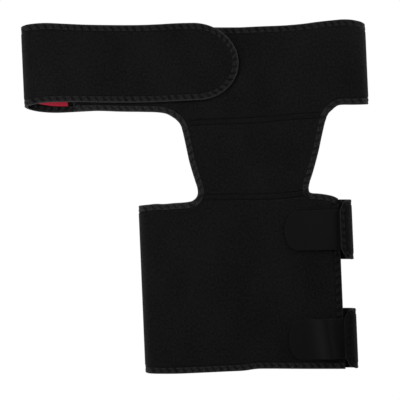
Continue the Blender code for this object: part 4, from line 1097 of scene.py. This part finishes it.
# tongues
tonguePieces, tongueStitches = {}, []
narrow, corner = tape["tongueWidth"], tongue["endRadius"]
stitching = (1, narrow - zigzag["narrowIn"], zigzag["narrowOuter"])
for name, (bottom, top) in tongueSpans.items():
    middle, total = (bottom + top) / 2, tongueFold["total"]
    taper = lengthAt(tongueFold, bendX, total * tongue["frontFrom"], total)
    lowerHalf = [Vector((0, bottom)), Vector((taper - corner, bottom)),
                 Vector((taper, bottom + corner / 4))]
    tipSpot = Vector((total, middle - tab["width"] / 2))
    way = (tipSpot - lowerHalf[-1]).normalized()
    before = tipSpot - way * corner * tongue["cornerReach"]
    after = tipSpot + Vector((0, corner * tongue["cornerReach"]))
    for k in range(9):
        lowerHalf.append(before.lerp(tipSpot, k / 8).lerp(tipSpot.lerp(after, k / 8), k / 8))
    dense = [lowerHalf[0]]
    for a, b in zip(lowerHalf, lowerHalf[1:]):
        steps = max(1, round((b - a).length / tongue["outlineStep"]))
        dense += [a.lerp(b, k / steps) for k in range(1, steps + 1)]
    cut = moved(dense + [Vector((p.x, 2 * middle - p.y)) for p in reversed(dense)], nose)
    lowEdge = heightAlong(cut[:len(dense)])
    endS = max(p.x for p in cut)
    columns = columnsOf(tongueFold, 0.0, endS,
                        [endS - d for d in rimSteps(narrow)[1:]] + rimSteps(sewn)[1:])
    grid = stripGrid(columns, lowEdge, lambda s: 2 * middle - lowEdge(s), lambda s: narrow,
                     lambda s: narrow, [(endS, lambda y: narrow), (0.0, lambda y: sewn)],
                     cloth["tongueRows"], [(tongue["sewnRun"], 1.0, distanceTo(cut), narrow)])
    # the tongues get the jersey with painted shade
    tonguePieces[name] = clothPiece(name + "TongueFabric", [grid], onTongue, shadedTongueJersey,
                                    node=name + "_tongue", slot="neoprene_knit")
    rail = railOf([(cut, onTongue)])
    tapePieces[name + "TongueTape"] = tapePiece(name + "TongueTape", rail, narrow, *stitching,
                                                node=name + "_tongue_binding")
    tongueStitches += zigzagRuns(rail, *stitching)
print("tongues made")

# seams
seam = {"half": 0.0031, "face": 0.00178, "ridge": 0.0004, "lip": 0.0004, "ease": 0.0003,
        "underside": 0.00195, "ring": 0.0012, "runOut": 0.0025, "underTape": 0.0022,
        # two rows of stitches, 2.6 mm from one to the next
        "row": 0.0019, "stitch": 0.0018, "pitch": 0.0026, "first": 0.001, "spare": 0.002,
        "dive": 0.0003, "thread": 0.00028, "proud": 0.0003, "tongueProud": 0.0001,
        "tongueInset": 0.0001}


def seamPiece(name, line, place, node):
    # flat seam: a low ridge over the two squeezed rims
    half, face, ridge = seam["half"], seam["face"], seam["ridge"]
    rail = railOf([(line, place)])
    right = [(half, face - seam["lip"]), (half - seam["ease"], face),
             (half * 0.55, face + ridge * 0.5)]
    above = right + [(0, face + ridge)] + [(-u, v) for u, v in reversed(right)]
    profile = above + [(u, -min(v, seam["underside"])) for u, v in reversed(above)]

    def profileAt(length):
        # its two ends run out under the tapes
        low = 0.5 + 0.5 * min(1, min(length, rail["total"] - length) / seam["runOut"])
        return [(u, v * low) for u, v in profile]
    piece = sweptPiece(name, rail, profileAt, perimeter(profile), jersey, seam["ring"],
                       node=node, slot="seam_thread")
    return piece, rail


def seamStitchesOn(rail, faces, proud):
    runs, length = [], seam["first"]
    while length < rail["total"] - seam["spare"]:
        for u in (-seam["row"], seam["row"]):
            for face in faces:
                runs.append([railSpot(rail, length + seam["stitch"] * k / 4, u,
                                      face * (seam["face"] + proud
                                              - seam["dive"] * abs(k / 2 - 1) ** 3))
                             for k in range(5)])
        length += seam["pitch"]
    return runs


seamStitches, seamPieces = [], []
reachIn = bound - seam["underTape"]
for name, line, node in (("beltSeamBand", beltSeam, "belt_seam"),
                         ("wrapSeamBand", wrapSeam, "thigh_seam")):
    a, b = crossing(moved(leftCut, reachIn), line), crossing(moved(rightCut, -reachIn), line)
    piece, rail = seamPiece(name, [a[2], *line[a[1] + 1:b[1] + 1], b[2]], onHip, node)
    seamPieces.append(piece)
    seamStitches += seamStitchesOn(rail, (1,), seam["proud"])
for name, (bottom, top) in tongueSpans.items():
    piece, rail = seamPiece(name + "TongueSeamBand",
                            upright(-halfGap, bottom + seam["tongueInset"],
                                    top - seam["tongueInset"], 30),
                            onTongue, name + "_tongue_seam")
    seamPieces.append(piece)
    seamStitches += seamStitchesOn(rail, (1, -1), seam["tongueProud"])
print("seams made")


# hook tabs, hook patch and label
def slabGrids(start, stop, half, thick, roundLength):
    # a strip with one rounded end, its corners eased by a last thin row
    steps = slab["rimSteps"]

    def halfWall(depth):
        share = min(max(depth / slab["rimRun"], 0), 1)
        rim = slab["rimShare"]
        return thick / 2 * (rim + (1 - rim) * math.sqrt(1 - (1 - share) ** 2))
    flat = half - steps[-1]
    across = [-half + d for d in steps]
    across += [-flat + 2 * flat * k / slab["rows"] for k in range(1, slab["rows"])]
    across += [half - d for d in reversed(steps)]
    count = max(2, round(abs(stop - start) / slab["step"]))
    grid = []
    for k in range(count + 1):
        s = start + (stop - start) * k / count
        grid.append([(s, y, halfWall(min(half - abs(y), abs(s - start)))) for y in across])
    shares = sorted({round(abs(y) / half, 9) for y in across})
    sign = 1 if stop > start else -1
    return roundEnd(grid, (stop, 0), sign * roundLength, half, shares, slab["roundSteps"],
                    halfWall)


tongueTip = wrapEndX + tongueFront
for name, (bottom, top) in tongueSpans.items():
    middle = (bottom + top) / 2
    crest, before, after, high, slant = tab["arches"][name]

    def onTab(s, y, h):
        rise = middle + tab["rise"] * (s - tongueTip)
        x = s + wrap["lean"] * (wrapY - middle) - tab["rise"] * y
        past = s - tongueTip - crest + slant * y
        bump = high * math.exp(-(past / (before if past < 0 else after)) ** 2)
        return Vector((x, rise + y, tabZ + h + bump + ripple(x, rise + y)))
    grids = slabGrids(tongueTip + tab["under"], tongueTip - tab["length"] + tab["round"],
                      tab["width"] / 2, tab["thick"], tab["round"])
    clothPiece(name + "HookTab", grids, onTab, hookBack,
                                 node=name + "_hook_tab", slot="hook_tape")

margin = hookPatch["margin"]
patchLow = beltY + belt["overlapBottom"][-1][1] * belt["height"] + margin
patchHigh = beltY + belt["overlapTop"][-1][1] * belt["height"] - margin
patchMiddle = (patchLow + patchHigh) / 2
patchTip = belt["roundStart"] + belt["roundLength"] - belt["width"] / 2 - margin
patchRound = belt["roundLength"] - margin


def onPatch(s, y, h):
    y = patchMiddle + y
    x = s + belt["lean"] * (beltY - y)
    return Vector((x, y, (frontZ + overlapZ) / 2 + h + ripple(x, y)))


grids = slabGrids(patchTip - hookPatch["length"], patchTip - patchRound,
                  (patchHigh - patchLow) / 2, hookPatch["thick"], patchRound)
patchFabric = clothPiece("beltHookPatch", grids, onPatch, hookBack, node="belt_hook_patch",
                         slot="hook_tape")
labelLeft = label["start"] - belt["width"] / 2
labelLow = beltY + label["foot"] * belt["height"]


def onLabel(s, y, h):
    # sewn down along its lower edge it stands off a little, and its left corner is drawn up
    rise = label["stand"] * (y - labelLow) / label["height"]
    drawn = max(0, 1 - (s - labelLeft) / label["length"] / label["drawnShare"]) ** 2
    z = cloth["wall"] + cloth["gap"] + label["thick"] / 2 + h + rise
    return Vector((s, y + label["drawn"] * drawn, z))


labelGrid = []
for i in range(label["columns"] + 1):
    s = labelLeft + label["length"] * i / label["columns"]
    column = []
    for j in range(label["rows"] + 1):
        rim = i in (0, label["columns"]) or j in (0, label["rows"])
        column.append((s, labelLow + label["height"] * j / label["rows"],
                       label["thick"] / 2 * (label["rimShare"] if rim else 1)))
    labelGrid.append(column)
labelPiece = clothPiece("beltLabel", [labelGrid], onLabel, redSatin, node="belt_label",
                        slot="label_satin")
print("tabs, patch and label made")

for key, name, runs, radius in (
        ("belt", "beltTapeStitches", stitchRuns["belt"], zigzag["radius"]),
        ("wrap", "sideTapeStitches", stitchRuns["wrap"], zigzag["radius"]),
        ("tongue", "tongueTapeStitches", tongueStitches, zigzag["radius"]),
        ("seam", "seamStitches", seamStitches, seam["thread"])):
    threadRuns(name, runs, radius, thread, slot="seam_thread")

# table, light and camera
white, tree, surface = newMaterial("litWhiteTable", **{
    "Base Color": (0.02, 0.02, 0.02, 1), "Roughness": 0.9, "Emission Color": (1, 1, 1, 1),
    "Emission Strength": 1.0})
bpy.ops.object.select_all(action="DESELECT")
bpy.ops.mesh.primitive_plane_add(size=14, location=(0, 0, -0.0004))
floor = bpy.context.object
floor.name = "table"
floor.data.materials.append(white)
bpy.ops.object.select_all(action="DESELECT")
bpy.ops.mesh.primitive_cylinder_add(vertices=96, radius=6.5, depth=0.9, end_fill_type="NOTHING",
                                    location=(0, 0, 0.44))
tent = bpy.context.object
tent.name = "lightTent"
tent.data.materials.append(white)

world = bpy.data.worlds.new("studio")
world.use_nodes = True
world.node_tree.nodes["Background"].inputs["Color"].default_value = (1, 1, 1, 1)
world.node_tree.nodes["Background"].inputs["Strength"].default_value = 0.03
bpy.context.scene.world = world
softboxes = {  # name: place, power, width
    "upperLeftBox": ((-0.4, 0.4, 0.8), 2.05, 0.5),
    "lowerLeftBox": ((-0.5, -0.26, 0.34), 1.0, 0.3),
    "rightBox": ((0.6, 0.32, 0.24), 1.1, 0.3),
    "frontBox": ((-0.5, -3.0, 1.7), 5, 1.6),
}
for name, (place, power, wide) in softboxes.items():
    lamp = bpy.data.lights.new(name, "AREA")
    lamp.energy, lamp.size = power, wide
    holder = bpy.data.objects.new(name, lamp)
    holder.location = place
    holder.rotation_euler = (-Vector(place)).to_track_quat("-Z", "Y").to_euler()
    bpy.context.scene.collection.objects.link(holder)

view = {"centre": (0.00656, -0.00419), "level": 0.0115, "distance": 2.6, "across": 0.5, "sensor": 36}
camera = bpy.data.cameras.new("photoCamera")
camera.sensor_width = view["sensor"]
camera.lens = view["sensor"] * view["distance"] / view["across"]
holder = bpy.data.objects.new("photoCamera", camera)
holder.location = (*view["centre"], view["level"] + view["distance"])
bpy.context.scene.collection.objects.link(holder)
bpy.context.scene.camera = holder
bpy.context.scene.view_settings.view_transform = "Standard"
